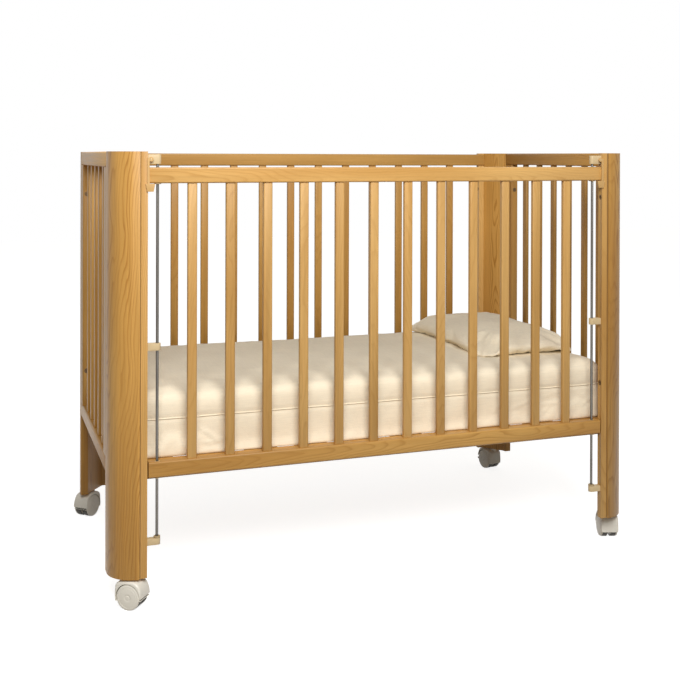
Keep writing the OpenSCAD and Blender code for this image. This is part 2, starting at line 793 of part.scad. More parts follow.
module stack(rings) {
    n = len(rings[0]);
    m = len(rings);
    points = [for (loop = rings) each loop];
    low_middle = m * n;
    high_middle = low_middle + 1;
    walls = [for (j = [0 : m - 2], i = [0 : n - 1]) let (a = j * n + i, b = j * n + (i + 1) % n)
        each [[a, a + n, b + n], [a, b + n, b]]];
    low_cap = [for (i = [0 : n - 1]) [low_middle, i, (i + 1) % n]];
    high_cap = [for (i = [0 : n - 1]) [high_middle, (m - 1) * n + (i + 1) % n, (m - 1) * n + i]];
    polyhedron(concat(points, [[0, 0, rings[0][0][2]], [0, 0, rings[m - 1][0][2]]]),
        concat(walls, low_cap, high_cap));
}

mattress_hx = half_l - nose_t - bed_gap_x;
mattress_hy = half_w - bed_gap_y;
mattress_z = base_top + rest_gap;
mattress_top = mattress_z + mattress_h;

// A mattress: rounded border with one seam, and a low crown that starts inside the top edge
least_r = 2;
module mattress() {
    foot = 4;
    foot_in = 1.2;
    seam_z = mattress_h * seam_share;
    middle_w = 48;
    border = [
        [foot, 0], [foot_in, foot_in], [0, foot], [0, seam_z - seam_w], [seam_d, seam_z],
        [0, seam_z + seam_w]];
    edge = [for (a = [0, 25, 50, 75]) [
        mattress_edge * (1 - cos(a)), mattress_h - mattress_edge * (1 - sin(a))]];
    top = [for (k = [0 : 6]) let (f = k / 6) [
        mattress_edge + (mattress_hy - mattress_edge - middle_w) * f,
        mattress_h + crown_h * (1 - pow(1 - f, 2.2))]];
    color(cloth) translate([0, 0, mattress_z])
        stack([for (p = concat(border, edge, top)) ring(mattress_hx - p[0], mattress_hy - p[0],
            max(least_r, min(mattress_r, mattress_hy - p[0] - 1)), p[1], 0)]);
}

pillow_hx = pillow_l / 2;
pillow_hy = pillow_w / 2;
pillow_x = half_l - nose_t - pillow_gap - pillow_hx;
pillow_y = mattress_hy - pillow_back - pillow_hy;
pillow_z = mattress_top + crown_h + rest_gap;

// A pillow: fullest in its middle, thin at its rounded corners, on a flat underside
module pillow() {
    corner_r = 55;
    flat_share = 0.76;
    upper_power = 0.56;
    under = [for (a = [0 : 22.5 : 67.5]) [
        flat_share + (1 - flat_share) * sin(a), pillow_seam * (1 - cos(a))]];
    over = [for (f = [1, 0.98, 0.95, 0.9, 0.83, 0.74, 0.62, 0.48, 0.32, 0.15]) [
        f, pillow_seam + (pillow_h - pillow_seam) * pow(1 - f * f, upper_power)]];
    color(cloth) translate([pillow_x, pillow_y, pillow_z])
        stack([for (p = concat(under, over)) ring(pillow_hx * p[0], pillow_hy * p[0],
            max(least_r, corner_r * p[0]), p[1], pillow_draw * p[0])]);
}

post_front_left();
post_front_right();
post_back_left();
post_back_right();
strip_front_left();
strip_front_right();
strip_back_left();
strip_back_right();
left_end_top_rail();
left_end_bottom_rail();
left_end_stiles();
left_end_slats();
right_end_top_rail();
right_end_bottom_rail();
right_end_stiles();
right_end_slats();
back_top_rail();
back_bottom_rail();
back_slats();
base_bearers();
base_slats();
base_irons();
base_bolts();
end_bolts();
strip_bolts();
guide_rods();
rod_stops();
top_brackets();
middle_brackets();
bottom_brackets();
drop_top_rail();
drop_bottom_rail();
drop_slats();
drop_bushes();
catch_left();
catch_right();
mattress();
pillow();
caster_sockets();
caster_front_left_fork();
caster_front_left_wheels();
caster_front_left_treads();
caster_axles_front_left();
caster_front_right_fork();
caster_front_right_wheels();
caster_front_right_treads();
caster_axles_front_right();
caster_back_left_fork();
caster_back_left_wheels();
caster_back_left_treads();
caster_axles_back_left();
caster_back_right_fork();
caster_back_right_wheels();
caster_back_right_treads();
caster_axles_back_right();
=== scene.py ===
"""The finished look of a wooden crib with one drop side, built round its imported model."""

import json
import math
import random

import bmesh
import bpy
import numpy as np
from bpy.props import FloatProperty, FloatVectorProperty, IntProperty, PointerProperty
from mathutils import Matrix, Vector
from mathutils.bvhtree import BVHTree


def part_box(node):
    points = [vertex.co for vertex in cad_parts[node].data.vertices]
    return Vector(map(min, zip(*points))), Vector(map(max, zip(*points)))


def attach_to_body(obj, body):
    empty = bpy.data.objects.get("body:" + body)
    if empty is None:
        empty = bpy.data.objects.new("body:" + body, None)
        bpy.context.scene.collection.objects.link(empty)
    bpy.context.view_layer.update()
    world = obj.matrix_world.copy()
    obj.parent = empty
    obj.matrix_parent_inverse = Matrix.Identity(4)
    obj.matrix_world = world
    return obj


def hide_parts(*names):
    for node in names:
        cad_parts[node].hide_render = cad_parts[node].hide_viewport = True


bl_info = {
    "name": "Wooden Crib with a Drop Side",
    "version": (1, 0, 0),
    "blender": (4, 5, 0),
    "location": "View3D > Sidebar > Crib",
    "description": "Finishes the wood, fittings, casters and bedding of a packed crib",
    "category": "Object",
}

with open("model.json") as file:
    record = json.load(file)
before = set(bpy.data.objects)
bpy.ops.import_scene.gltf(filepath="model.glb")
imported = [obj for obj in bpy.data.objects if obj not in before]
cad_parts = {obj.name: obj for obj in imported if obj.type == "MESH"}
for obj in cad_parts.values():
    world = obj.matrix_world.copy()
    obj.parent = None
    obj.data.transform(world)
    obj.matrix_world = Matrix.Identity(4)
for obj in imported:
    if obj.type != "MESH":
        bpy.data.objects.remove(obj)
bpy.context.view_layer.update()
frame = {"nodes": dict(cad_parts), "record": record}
BODIES = {node: body for body, nodes in frame["record"]["behaviour"]["bodies"].items() for node in nodes}

X, Y, Z = 0, 1, 2
CORNERS = {
    "front_left": (-1, -1),
    "front_right": (1, -1),
    "back_left": (-1, 1),
    "back_right": (1, 1),
}
ENDS = {"left": -1, "right": 1}

# Camera: place in metres, turn in degrees, and shift as a share of the picture's width
CAMERA_PLACE = (-0.891, -2.494, 0.9345)
CAMERA_TURN = (89.87, -0.16, -19.5)
CAMERA_SHIFT = -0.2677
# Floor: size of its grid, and strength of the white that the camera sees on it
FLOOR_SIZE, FLOOR_GLOW = 9.0, 0.83
ROOM_COLOUR, ROOM_STRENGTH = (1.0, 0.97, 0.91), 0.22
WHITE = (1, 1, 1, 1)
# Lamps: place, the point they aim at, and diameter
KEY_LAMP = ((-0.55, -2.15, 2.12), (0.0, -0.2, 0.55), 1.5)
FILL_LAMP = ((3.4, -1.6, 1.3), (0.1, 0.0, 0.5), 2.2)

# Lacquered woods: tone, strength of the rings, and how far the colour leans to amber. Tone and amber are
# partly the wood's own colour and partly painted shade and painted light, as marked below
WOODS = {
    "post": (0.86, 1.5, 1.1),
    "strip": (0.97, 0.9, 0.4),
    # Painted shadow: a dark wood for the wedge in the corner between each strip and its post
    "joint": (0.32, 0.4, 1.2),
    "rail": (1.06, 1.0, 0.3),
    # Painted shade: a darker, more amber copy of the rail wood for the drop side's bottom rail, where the
    # light falls off low down
    "low_rail_shaded": (0.80, 1.1, 0.9),
    # Painted shade: darker and more amber for the back's rails, which stand in shade at the back of the crib
    "back": (0.82, 0.8, 0.8),
    "end": (0.82, 0.9, 1.0),
    # Painted light: a pale wood with faint rings for the left end's top rail, standing for the highlight
    # that washes over it
    "plain": (1.30, 0.2, 0.3),
    "slat": (0.90, 0.6, 0.25),
    # Painted shade: a darker, more amber copy of the slat wood for the slats inside the crib, which stand in
    # shade
    "inner_slat_shaded": (0.77, 0.7, 1.1),
    "base": (0.84, 0.9, 0.8),
}

# Frame bolts, in metres
BOLT_SHANK_R = 0.003
BOLT_HEAD_R = 0.006
BOLT_HEAD_H = 0.003
BOLT_SOCKET_R = 0.0026
BOLT_SOCKET_DEPTH = 0.0019

# Painted shadow in the corner between a strip and its post: width on the strip, and on the post
JOINT_SHADOW_W, JOINT_SHADOW_H = 0.0022, 0.0015

# Side disc of a wheel, from its rim inwards: distance inside the rim, height over the outer face
DISC_RIM = ((0.0, -0.0022), (0.0005, -0.0010), (0.0015, -0.0003), (0.0030, 0.0), (0.0052, 0.0001),
            (0.0056, -0.0003), (0.0060, -0.0003), (0.0064, 0.0002))
# The same disc from there to its middle: radius, height over the outer face
DISC_HUB = ((0.0150, 0.0006), (0.0100, 0.0009), (0.0060, 0.0010), (0.0054, 0.0007), (0.0050, 0.0007),
            (0.0045, 0.0011), (0.0020, 0.0013), (0.0, 0.0013))
DISC_BORE_R = 0.0031
# A groove round a tread: distance from the groove's middle, depth
TREAD_GROOVE = ((-0.0006, 0.0), (-0.0003, 0.0005), (0.0003, 0.0005), (0.0006, 0.0))
WHEEL_STEPS = 72

# Mattress: radius of its solid's lower edge, radius of its corners seen from above
MATTRESS_EDGE, MATTRESS_CORNER = 0.024, 0.042


# Sizes and colours that a user would change


def colour_setting(name, description, default):
    return FloatVectorProperty(
        name=name, description=description, subtype="COLOR", default=default, min=0, max=1)


def length_setting(name, description, default, low, high):
    return FloatProperty(
        name=name, description=description, subtype="DISTANCE", unit="LENGTH",
        default=default, min=low, max=high)


class CribWoodSettings(bpy.types.PropertyGroup):
    pale: colour_setting("Pale wood", "Colour of the wide, early part of a ring", (0.715, 0.440, 0.160))
    warm: colour_setting("Warm wood", "Colour of the warmer patches", (0.572, 0.318, 0.095))
    line: colour_setting("Ring line", "Colour of the narrow, late part of a ring", (0.40, 0.185, 0.034))
    ring: length_setting("Ring width", "Distance between two rings of the log", 0.0018, 0.001, 0.01)
    eased: length_setting(
        "Eased edge", "Width of the eased edges on the wooden pieces",
        0.0011, 0.0003, 0.004)


class CribFittingSettings(bpy.types.PropertyGroup):
    steel: colour_setting("Steel", "Colour of the irons and axles", (0.36, 0.35, 0.33))
    rod: colour_setting("Guide rods", "Colour of the oiled guide rods", (0.17, 0.16, 0.145))
    bronze: colour_setting("Bolt heads", "Colour of the bronzed bolt heads", (0.19, 0.115, 0.055))
    bracket: colour_setting("Brackets", "Colour of the plastic rod brackets", (0.66, 0.50, 0.28))
    caster: colour_setting("Casters", "Colour of the casters' hoods and discs", (0.87, 0.83, 0.735))
    rubber: colour_setting("Treads", "Colour of the casters' treads", (0.085, 0.080, 0.070))
    catch: colour_setting("Catches", "Colour of the plastic catches", (0.60, 0.365, 0.135))
    stop: colour_setting("Stops", "Colour of the rubber rings under the drop side", (0.40, 0.29, 0.155))


class CribBeddingSettings(bpy.types.PropertyGroup):
    cloth: colour_setting("Cotton", "Colour of the mattress and the pillow", (0.95, 0.85, 0.66))
    seam_height: length_setting(
        "Mattress seam", "Height of the mattress's seam above its underside",
        0.0800, 0.02, 0.11)
    pillow_seam: length_setting(
        "Pillow seam", "Height of the pillow's seam above its underside",
        0.010, 0.005, 0.04)
    mattress_mesh: length_setting(
        "Mattress mesh", "Size of the mattress cover's mesh for the simulation",
        0.0095, 0.004, 0.03)
    pillow_mesh: length_setting(
        "Pillow mesh", "Size of the pillow's mesh for the simulation",
        0.0055, 0.003, 0.03)
    frames: IntProperty(
        name="Simulated frames", description="Number of frames that the cloth settles for",
        default=20, min=2, max=60)


class CribStageSettings(bpy.types.PropertyGroup):
    floor: colour_setting(
        "Floor", "Colour of the floor in the light that it throws back",
        (0.24, 0.205, 0.155))
    key_watts: FloatProperty(
        name="Key light", description="Power of the large light in front", default=69.0, min=0, max=500)
    fill_watts: FloatProperty(
        name="Fill light", description="Power of the light from the right", default=2.5, min=0, max=500)
    lens: FloatProperty(
        name="Lens", description="Focal length on a 36 mm sensor, in millimetres",
        default=55.43, min=20, max=200)


def wood_settings():
    return bpy.context.scene.crib_wood


def fitting_settings():
    return bpy.context.scene.crib_fittings


def bedding_settings():
    return bpy.context.scene.crib_bedding


def stage_settings():
    return bpy.context.scene.crib_stage


# Shader nodes


def add(tree, kind, settings=None, inputs=None, output=0):
    """Adds a node, links or sets its inputs, and returns one of its outputs, if it has any."""
    node = tree.nodes.new(kind)
    for key, value in (settings or {}).items():
        setattr(node, key, value)
    for key, value in (inputs or {}).items():
        if isinstance(value, bpy.types.NodeSocket):
            tree.links.new(value, node.inputs[key])
        else:
            node.inputs[key].default_value = value
    return None if output is None else node.outputs[output]


def maths(tree, operation, a, b=0.0):
    return add(tree, "ShaderNodeMath", {"operation": operation}, {0: a, 1: b})


def plus(tree, a, b):
    return maths(tree, "ADD", a, b)


def minus(tree, a, b):
    return maths(tree, "SUBTRACT", a, b)


def times(tree, a, b):
    return maths(tree, "MULTIPLY", a, b)


def noise(tree, place, scale=1.0, detail=2.0, roughness=0.5, distortion=0.0):
    inputs = {"Vector": place, "Scale": scale, "Detail": detail, "Roughness": roughness,
              "Distortion": distortion}
    return add(tree, "ShaderNodeTexNoise", None, inputs, "Fac")


def streaks(tree, place, scale, detail=2.0, roughness=0.5):
    """Noise with its own scale in each direction."""
    drawn = add(tree, "ShaderNodeVectorMath", {"operation": "MULTIPLY"}, {0: place, 1: scale})
    return noise(tree, drawn, 1.0, detail, roughness)


def wander(tree, place, scale, detail, reach):
    """Streaks that run either side of zero, over a range of reach."""
    return times(tree, minus(tree, streaks(tree, place, scale, detail), 0.5), reach)


def span(tree, value, low, high, out_low=0.0, out_high=1.0):
    """Maps a value from one range to another, and holds it at the ends."""
    inputs = {0: value, 1: low, 2: high, 3: out_low, 4: out_high}
    return add(tree, "ShaderNodeMapRange", None, inputs)


def curve_of(tree, value, stops):
    """A smooth profile through (position, height) stops."""
    node = tree.nodes.new("ShaderNodeValToRGB")
    ramp = node.color_ramp
    while len(ramp.elements) < len(stops):
        ramp.elements.new(0.5)
    for element, (position, height) in zip(ramp.elements, stops):
        element.position = position
        element.color = (height, height, height, 1)
    tree.links.new(value, node.inputs[0])
    return node.outputs[0]


def blend_colours(tree, amount, a, b, way="MIX"):
    a, b = (c if isinstance(c, bpy.types.NodeSocket) else tuple(c) + (1,) for c in (a, b))
    settings = {"data_type": "RGBA", "blend_type": way}
    return add(tree, "ShaderNodeMix", settings, {0: amount, 6: a, 7: b}, 2)


def shaded(tree, colour, shade):
    grey = add(tree, "ShaderNodeCombineXYZ", None, {0: shade, 1: shade, 2: shade})
    return blend_colours(tree, 1.0, colour, grey, "MULTIPLY")


def bump(tree, height, strength, distance, normal=None):
    inputs = {"Height": height, "Strength": strength, "Distance": distance}
    if normal is not None:
        inputs["Normal"] = normal
    return add(tree, "ShaderNodeBump", None, inputs)


def new_finish(name, **sockets):
    """A material with its shader's own sockets set. Returns the material, its tree and the shader."""
    material = bpy.data.materials.new(name)
    material.use_nodes = True
    tree = material.node_tree
    shader = tree.nodes["Principled BSDF"]
    for key, value in sockets.items():
        shader.inputs[key.replace("_", " ")].default_value = value
    return material, tree, shader


def wire(tree, shader, **sockets):
    """Links what the nodes make to the shader's own sockets."""
    for key, value in sockets.items():
        tree.links.new(value, shader.inputs[key.replace("_", " ")])


def parts_of(tree, vector):
    split = tree.nodes.new("ShaderNodeSeparateXYZ")
    tree.links.new(vector, split.inputs[0])
    return split.outputs


def attribute(tree, name, output):
    settings = {"attribute_type": "GEOMETRY", "attribute_name": name}
    return add(tree, "ShaderNodeAttribute", settings, None, output)


def object_place(tree):
    return add(tree, "ShaderNodeTexCoord", None, None, "Object")


def sees_background(tree):
    """1 for rays that show the white background: the camera's, and those in gloss and glass."""
    rays = tree.nodes.new("ShaderNodeLightPath")
    seen = maths(tree, "MAXIMUM", rays.outputs["Is Camera Ray"], rays.outputs["Is Glossy Ray"])
    return maths(tree, "MAXIMUM", seen, rays.outputs["Is Transmission Ray"])


# Finishes

FINISHES = {}


def made_once(make):
    """Keeps each finish under its first value, so that like pieces share it."""
    def finish(name, *details, **settings):
        if name not in FINISHES:
            FINISHES[name] = make(name, *details, **settings)
        return FINISHES[name]
    return finish


@made_once
def lacquered_wood(wood):
    """Clear satin lacquer over softwood. The grain attribute holds each point's place in its log:
    along the grain, and across it from the pith. The board attribute is each board's own tone,
    with painted shade or painted light added on the pieces that stand in shade or in light."""
    tone, ring_strength, amber = WOODS[wood]
    settings = wood_settings()
    # Tone and amber: the wood's own colour, made darker and more amber on the cuts that carry painted shade
    tone_and_amber = (tone, tone * (1 - 0.10 * amber), tone * (1 - 0.34 * amber))
    pale, warm, line = (
        [c * a for c, a in zip(colour, tone_and_amber)] for colour in (settings.pale, settings.warm, settings.line))
    material, tree, shader = new_finish(
        wood + "_lacquer", Specular_IOR_Level=0.28, Coat_Weight=0.09, Coat_Roughness=0.24)
    place = attribute(tree, "grain", "Vector")
    # Rings: distance from the pith, bent by the tree's own growth
    along, across_a, across_b = parts_of(tree, place)
    squared = plus(tree, times(tree, across_a, across_a), times(tree, across_b, across_b))
    leaning = plus(tree, maths(tree, "SQRT", squared), times(tree, along, 0.022))
    bend = wander(tree, place, (2.6, 9.0, 9.0), 2.0, 0.024)
    ripple = wander(tree, place, (16.0, 70.0, 70.0), 1.0, 0.0016)
    radius = plus(tree, leaning, plus(tree, bend, ripple))
    uneven = streaks(tree, place, (0.4, 55.0, 55.0), 1.0)
    turns = plus(tree, maths(tree, "DIVIDE", radius, settings.ring), times(tree, uneven, 1.6))
    late = curve_of(tree, maths(tree, "FRACT", turns),
                    [(0.0, 0.10), (0.35, 0.0), (0.62, 0.16), (0.84, 0.85), (0.92, 1.0), (1.0, 0.10)])
    strength = span(tree, streaks(tree, place, (1.5, 22.0, 22.0)),
                    0.34, 0.68, 0.16 * ring_strength, 0.62 * ring_strength)
    # Fibres, pores and broad patches
    fibre = streaks(tree, place, (9.0, 620.0, 620.0), 3.0, 0.65)
    streak = streaks(tree, place, (2.2, 130.0, 130.0), 2.0, 0.6)
    pore = span(tree, streaks(tree, place, (70.0, 1500.0, 1500.0), 1.0), 0.64, 0.76)
    patch = span(tree, streaks(tree, place, (1.7, 14.0, 14.0)), 0.36, 0.66)
    colour = blend_colours(tree, times(tree, late, strength), blend_colours(tree, patch, pale, warm), line)
    shade = plus(tree, span(tree, fibre, 0.25, 0.75, -0.085, 0.085),
                 span(tree, streak, 0.3, 0.7, -0.075, 0.075))
    shade = plus(tree, shade, times(tree, pore, -0.13))
    # Each board's own tone, and on some pieces painted shade or painted light, from the board attribute
    shade = plus(tree, plus(tree, shade, attribute(tree, "board", "Fac")), 1.0)
    height = minus(tree, times(tree, fibre, 0.6), times(tree, pore, 0.5))
    height = minus(tree, height, times(tree, late, 0.25))
    wire(tree, shader, Base_Color=shaded(tree, colour, shade),
         Roughness=span(tree, fibre, 0.2, 0.8, 0.36, 0.52), Normal=bump(tree, height, 0.22, 0.0004))
    return material


@made_once
def moulded_plastic(name, colour, roughness=0.38, grain=0.25):
    """Moulded plastic with a fine spark-eroded grain and faint clouding."""
    material, tree, shader = new_finish(name, Specular_IOR_Level=0.45)
    place = object_place(tree)
    cloud = noise(tree, place, 34.0, 3.0, 0.6)
    fine = noise(tree, place, 2300.0, 2.0, 0.6)
    dust = span(tree, noise(tree, place, 160.0, 4.0, 0.7), 0.52, 0.80)
    tinted = blend_colours(tree, cloud, [c * 0.93 for c in colour], [min(1.0, c * 1.05) for c in colour])
    tinted = blend_colours(tree, times(tree, dust, 0.22), tinted, [c * 0.72 for c in colour])
    clouded = span(tree, cloud, 0.2, 0.8, roughness - 0.06, roughness + 0.08)
    wire(tree, shader, Base_Color=tinted, Roughness=clouded, Normal=bump(tree, fine, grain, 0.00006))
    return material


@made_once
def drawn_steel(name, colour, along=Z, roughness=0.30):
    """Bright drawn steel: fine lines along the bar and a few dull patches."""
    material, tree, shader = new_finish(name, Metallic=1.0)
    place = object_place(tree)
    scale = [1900.0] * 3
    scale[along] = 14.0
    lines = streaks(tree, place, scale, 2.0, 0.6)
    dull = noise(tree, place, 22.0, 3.0, 0.6)
    tinted = blend_colours(tree, span(tree, dull, 0.4, 0.7), colour, [c * 0.72 for c in colour])
    tinted = blend_colours(tree, span(tree, lines, 0.3, 0.7, 0.0, 0.3), tinted, [c * 0.6 for c in colour])
    dulled = span(tree, dull, 0.3, 0.7, roughness, roughness + 0.16)
    wire(tree, shader, Base_Color=tinted, Roughness=dulled, Normal=bump(tree, lines, 0.20, 0.00008))
    return material


@made_once
def soft_rubber(name, colour):
    """Matt rubber with a dusty bloom."""
    material, tree, shader = new_finish(name, Roughness=0.7)
    place = object_place(tree)
    bloom = span(tree, noise(tree, place, 90.0, 4.0, 0.65), 0.45, 0.75)
    tinted = blend_colours(tree, times(tree, bloom, 0.45), colour, [c * 2.1 for c in colour])
    pitted = bump(tree, noise(tree, place, 1500.0, 2.0), 0.3, 0.0001)
    wire(tree, shader, Base_Color=tinted, Roughness=span(tree, bloom, 0.0, 1.0, 0.58, 0.78), Normal=pitted)
    return material


@made_once
def woven_cotton(name, colour, thread=0.0011):
    """Plain-woven cotton: crossing threads, slubs, soft crumples and a faint bloom."""
    material, tree, shader = new_finish(
        name, Roughness=0.86, Sheen_Weight=0.18, Sheen_Roughness=0.5, Specular_IOR_Level=0.25)
    place = object_place(tree)
    beat = 2 * math.pi / thread
    a, b, c = (maths(tree, "SINE", times(tree, side, beat)) for side in parts_of(tree, place))
    weave = plus(tree, times(tree, a, b), plus(tree, times(tree, b, c), times(tree, c, a)))
    slub_x = streaks(tree, place, (18.0, 700.0, 700.0), 2.0, 0.6)
    slub_y = streaks(tree, place, (700.0, 18.0, 500.0), 2.0, 0.6)
    crumple = noise(tree, place, 26.0, 3.0, 0.55, 1.4)
    patch = noise(tree, place, 5.5, 2.0, 0.5)
    tinted = blend_colours(tree, span(tree, patch, 0.35, 0.65), colour, [share * 0.95 for share in colour])
    slubs = plus(tree, slub_x, slub_y)
    shade = times(tree, span(tree, slubs, 0.8, 1.2, 0.955, 1.035), span(tree, weave, -1.5, 1.5, 0.975, 1.02))
    soft = bump(tree, crumple, 0.30, 0.0030)
    threads = bump(tree, plus(tree, times(tree, weave, 0.35), slubs), 0.35, 0.00022, soft)
    wire(tree, shader, Base_Color=shaded(tree, tinted, shade), Normal=threads)
    return material


# Meshes


def new_piece(name, mesh, material):
    piece = bpy.data.objects.new(name, mesh)
    bpy.context.scene.collection.objects.link(piece)
    mesh.materials.clear()
    mesh.materials.append(material)
    return piece


def mesh_from(name, bm):
    bmesh.ops.recalc_face_normals(bm, faces=bm.faces)
    mesh = bpy.data.meshes.new(name)
    bm.to_mesh(mesh)
    bm.free()
    return mesh


def attach(piece, node):
    """Lets a piece move with a CAD node."""
    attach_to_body(piece, BODIES[node])


def stand_for(piece, node):
    """Lets a finished piece take its CAD node's place."""
    attach(piece, node)
    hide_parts(node)


def apply_modifiers(piece):
    """Keeps what the modifiers make of the mesh, and drops them."""
    seen = bpy.context.evaluated_depsgraph_get()
    mesh = bpy.data.meshes.new_from_object(piece.evaluated_get(seen))
    old = piece.data
    piece.modifiers.clear()
    piece.data = mesh
    bpy.data.meshes.remove(old)
    return mesh


def points_of(mesh):
    co = np.zeros(len(mesh.vertices) * 3)
    mesh.vertices.foreach_get("co", co)
    return co.reshape(-1, 3)


def cad_points(node):
    return points_of(frame["nodes"][node].data)


def welded(node):
    """A CAD node's mesh with its doubled points joined."""
    bm = bmesh.new()
    bm.from_mesh(frame["nodes"][node].data)
    bmesh.ops.remove_doubles(bm, verts=bm.verts, dist=2e-5)
    return bm


def put_points(mesh, points):
    mesh.vertices.foreach_set("co", np.asarray(points, dtype=np.float32).ravel())
    mesh.update()


def separate_solids(mesh):
    """The number of the solid that each vertex belongs to."""
    owner = list(range(len(mesh.vertices)))

    def root(i):
        while owner[i] != i:
            owner[i] = owner[owner[i]]
            i = owner[i]
        return i

    for edge in mesh.edges:
        a, b = root(edge.vertices[0]), root(edge.vertices[1])
        if a != b:
            owner[max(a, b)] = min(a, b)
    roots = sorted({root(i) for i in range(len(owner))})
    number = {r: i for i, r in enumerate(roots)}
    return np.array([number[root(i)] for i in range(len(owner))])


def write_grain(mesh, name, along, pith, shade):
    """Gives each board its own place in a log. pith is the direction from the board to the pith,
    in the two directions across the grain, and its distance. shade makes the piece paler or darker:
    it is painted shade or painted light, added to each board's own random tone."""
    draw = random.Random(name)
    points = points_of(mesh)
    solids = separate_solids(mesh)
    across = [a for a in (X, Y, Z) if a != along]
    grain = np.zeros_like(points)
    board = np.zeros(len(points))
    for number in range(solids.max() + 1):
        own = solids == number
        middle = (points[own].min(0) + points[own].max(0)) / 2
        turn = math.atan2(pith[1], pith[0]) + draw.uniform(-0.5, 0.5)
        far = math.hypot(*pith) * draw.uniform(0.75, 1.3)
        grain[own, 0] = points[own, along] - middle[along] + draw.uniform(-40, 40)
        grain[own, 1] = points[own, across[0]] - middle[across[0]] - far * math.cos(turn)
        grain[own, 2] = points[own, across[1]] - middle[across[1]] - far * math.sin(turn)
        board[own] = shade + draw.uniform(-0.06, 0.05)
    mesh.attributes.new("grain", "FLOAT_VECTOR", "POINT").data.foreach_set(
        "vector", grain.astype(np.float32).ravel())
    mesh.attributes.new("board", "FLOAT", "POINT").data.foreach_set("value", board.astype(np.float32))


def eased_copy(node, finish, width, steps=2, corner=32.0):
    """A copy of a CAD node's mesh with its sharp edges eased. corner is the least angle, in degrees,
    of an edge that counts as sharp."""
    bm = welded(node)
    bmesh.ops.dissolve_degenerate(bm, edges=bm.edges, dist=1e-5)
    bmesh.ops.dissolve_limit(bm, angle_limit=math.radians(0.6), verts=bm.verts, edges=bm.edges)
    for face in bm.faces:
        face.smooth = True
    piece = new_piece("finished_" + node, mesh_from("finished_" + node, bm), finish)
    bevel = piece.modifiers.new("Eased edges", "BEVEL")
    bevel.width = width
    bevel.segments = steps
    bevel.limit_method = "ANGLE"
    bevel.angle_limit = math.radians(corner)
    bevel.harden_normals = True
    apply_modifiers(piece)
    return piece


def finish_wood(node, along, pith, finish, shade=0.0):
    """Eased edges, lacquer and its own cut of the log for a wooden node."""
    piece = eased_copy(node, finish, wood_settings().eased)
    write_grain(piece.data, node, along, pith, shade)
    stand_for(piece, node)


def finish_part(node, finish, width, steps=2, corner=32.0):
    """Eased edges and a finish for a node that isn't wood."""
    stand_for(eased_copy(node, finish, width, steps, corner), node)


def refinish(node, finish):
    """Gives a CAD node that keeps its own mesh a better finish."""
    mesh = frame["nodes"][node].data
    mesh.materials.clear()
    mesh.materials.append(finish)


def join_rings(bm, low, high):
    """A band of faces between two closed rings of the same number of vertices."""
    for i in range(len(low)):
        j = (i + 1) % len(low)
        bm.faces.new((low[i], low[j], high[j], high[i]))


def turned(bm, profile, steps, place):
    """Turns a profile of (radius, height) points round the local Z axis and puts it in place."""
    rings = []
    for radius, height in profile:
        if radius < 1e-7:
            rings.append([bm.verts.new(place @ Vector((0, 0, height)))])
            continue
        angles = [2 * math.pi * i / steps for i in range(steps)]
        rings.append([bm.verts.new(place @ Vector((radius * math.cos(a), radius * math.sin(a), height)))
                      for a in angles])
    for low, high in zip(rings, rings[1:]):
        for i in range(steps):
            j = (i + 1) % steps
            corners = [low[i % len(low)], low[j % len(low)], high[j % len(high)], high[i % len(high)]]
            unique = list(dict.fromkeys(corners))
            if len(unique) > 2:
                bm.faces.new(unique)
    return rings


def smooth_by_angle(mesh, degrees=35.0):
    bm = bmesh.new()
    bm.from_mesh(mesh)
    for face in bm.faces:
        face.smooth = True
    for edge in bm.edges:
        edge.smooth = not (len(edge.link_faces) == 2 and edge.calc_face_angle(0) > math.radians(degrees))
    bm.to_mesh(mesh)
    bm.free()


def solids_of(node):
    """The lowest and highest corner of each solid in a node."""
    bm = welded(node)
    mesh = bpy.data.meshes.new("solids")
    bm.to_mesh(mesh)
    bm.free()
    points, solids = points_of(mesh), separate_solids(mesh)
    bpy.data.meshes.remove(mesh)
    return [(points[solids == n].min(0), points[solids == n].max(0)) for n in range(solids.max() + 1)]


# Wood


def add_painted_joint_shadow(corner, sx, sy, finish):
    """A painted shadow: a thin dark wedge of wood in the corner where a strip stands back from its post,
    where shade falls.
    """
    name = "joint_bead_" + corner
    low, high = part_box("strip_" + corner)
    x, y = low.x if sx < 0 else high.x, low.y if sy < 0 else high.y
    outline = [(x, y), (x - sx * JOINT_SHADOW_W, y), (x, y + sy * JOINT_SHADOW_H)]
    short = 0.0005
    bm = bmesh.new()
    rings = [[bm.verts.new((a, b, z)) for a, b in outline] for z in (low.z + short, high.z - short)]
    join_rings(bm, *rings)
    for ring in rings:
        bm.faces.new(ring)
    piece = new_piece(name, mesh_from(name, bm), finish)
    write_grain(piece.data, name, Z, (0.03, 0.03), 0.0)
    attach(piece, "strip_" + corner)


class CRIB_OT_finish_posts(bpy.types.Operator):
    """Finish the corner posts and the strips beside them"""
    bl_idname = "crib.finish_posts"
    bl_label = "Posts and Strips"

    def execute(self, context):
        finish = lacquered_wood("post")
        strip_finish = lacquered_wood("strip")
        for corner, (sx, sy) in CORNERS.items():
            # Painted shade: the front right post and its strip are made darker, on the side away from the
            # key light
            shade = -0.13 if sx > 0 and sy < 0 else 0.0
            finish_wood("post_" + corner, Z, (-0.045 * sx, -0.030 * sy), finish, shade)
            finish_wood("strip_" + corner, Z, (0.02 * sx, -0.08 * sy), strip_finish, shade)
            # Painted shadow in the corner between the strip and its post
            add_painted_joint_shadow(corner, sx, sy, lacquered_wood("joint"))
        return {"FINISHED"}


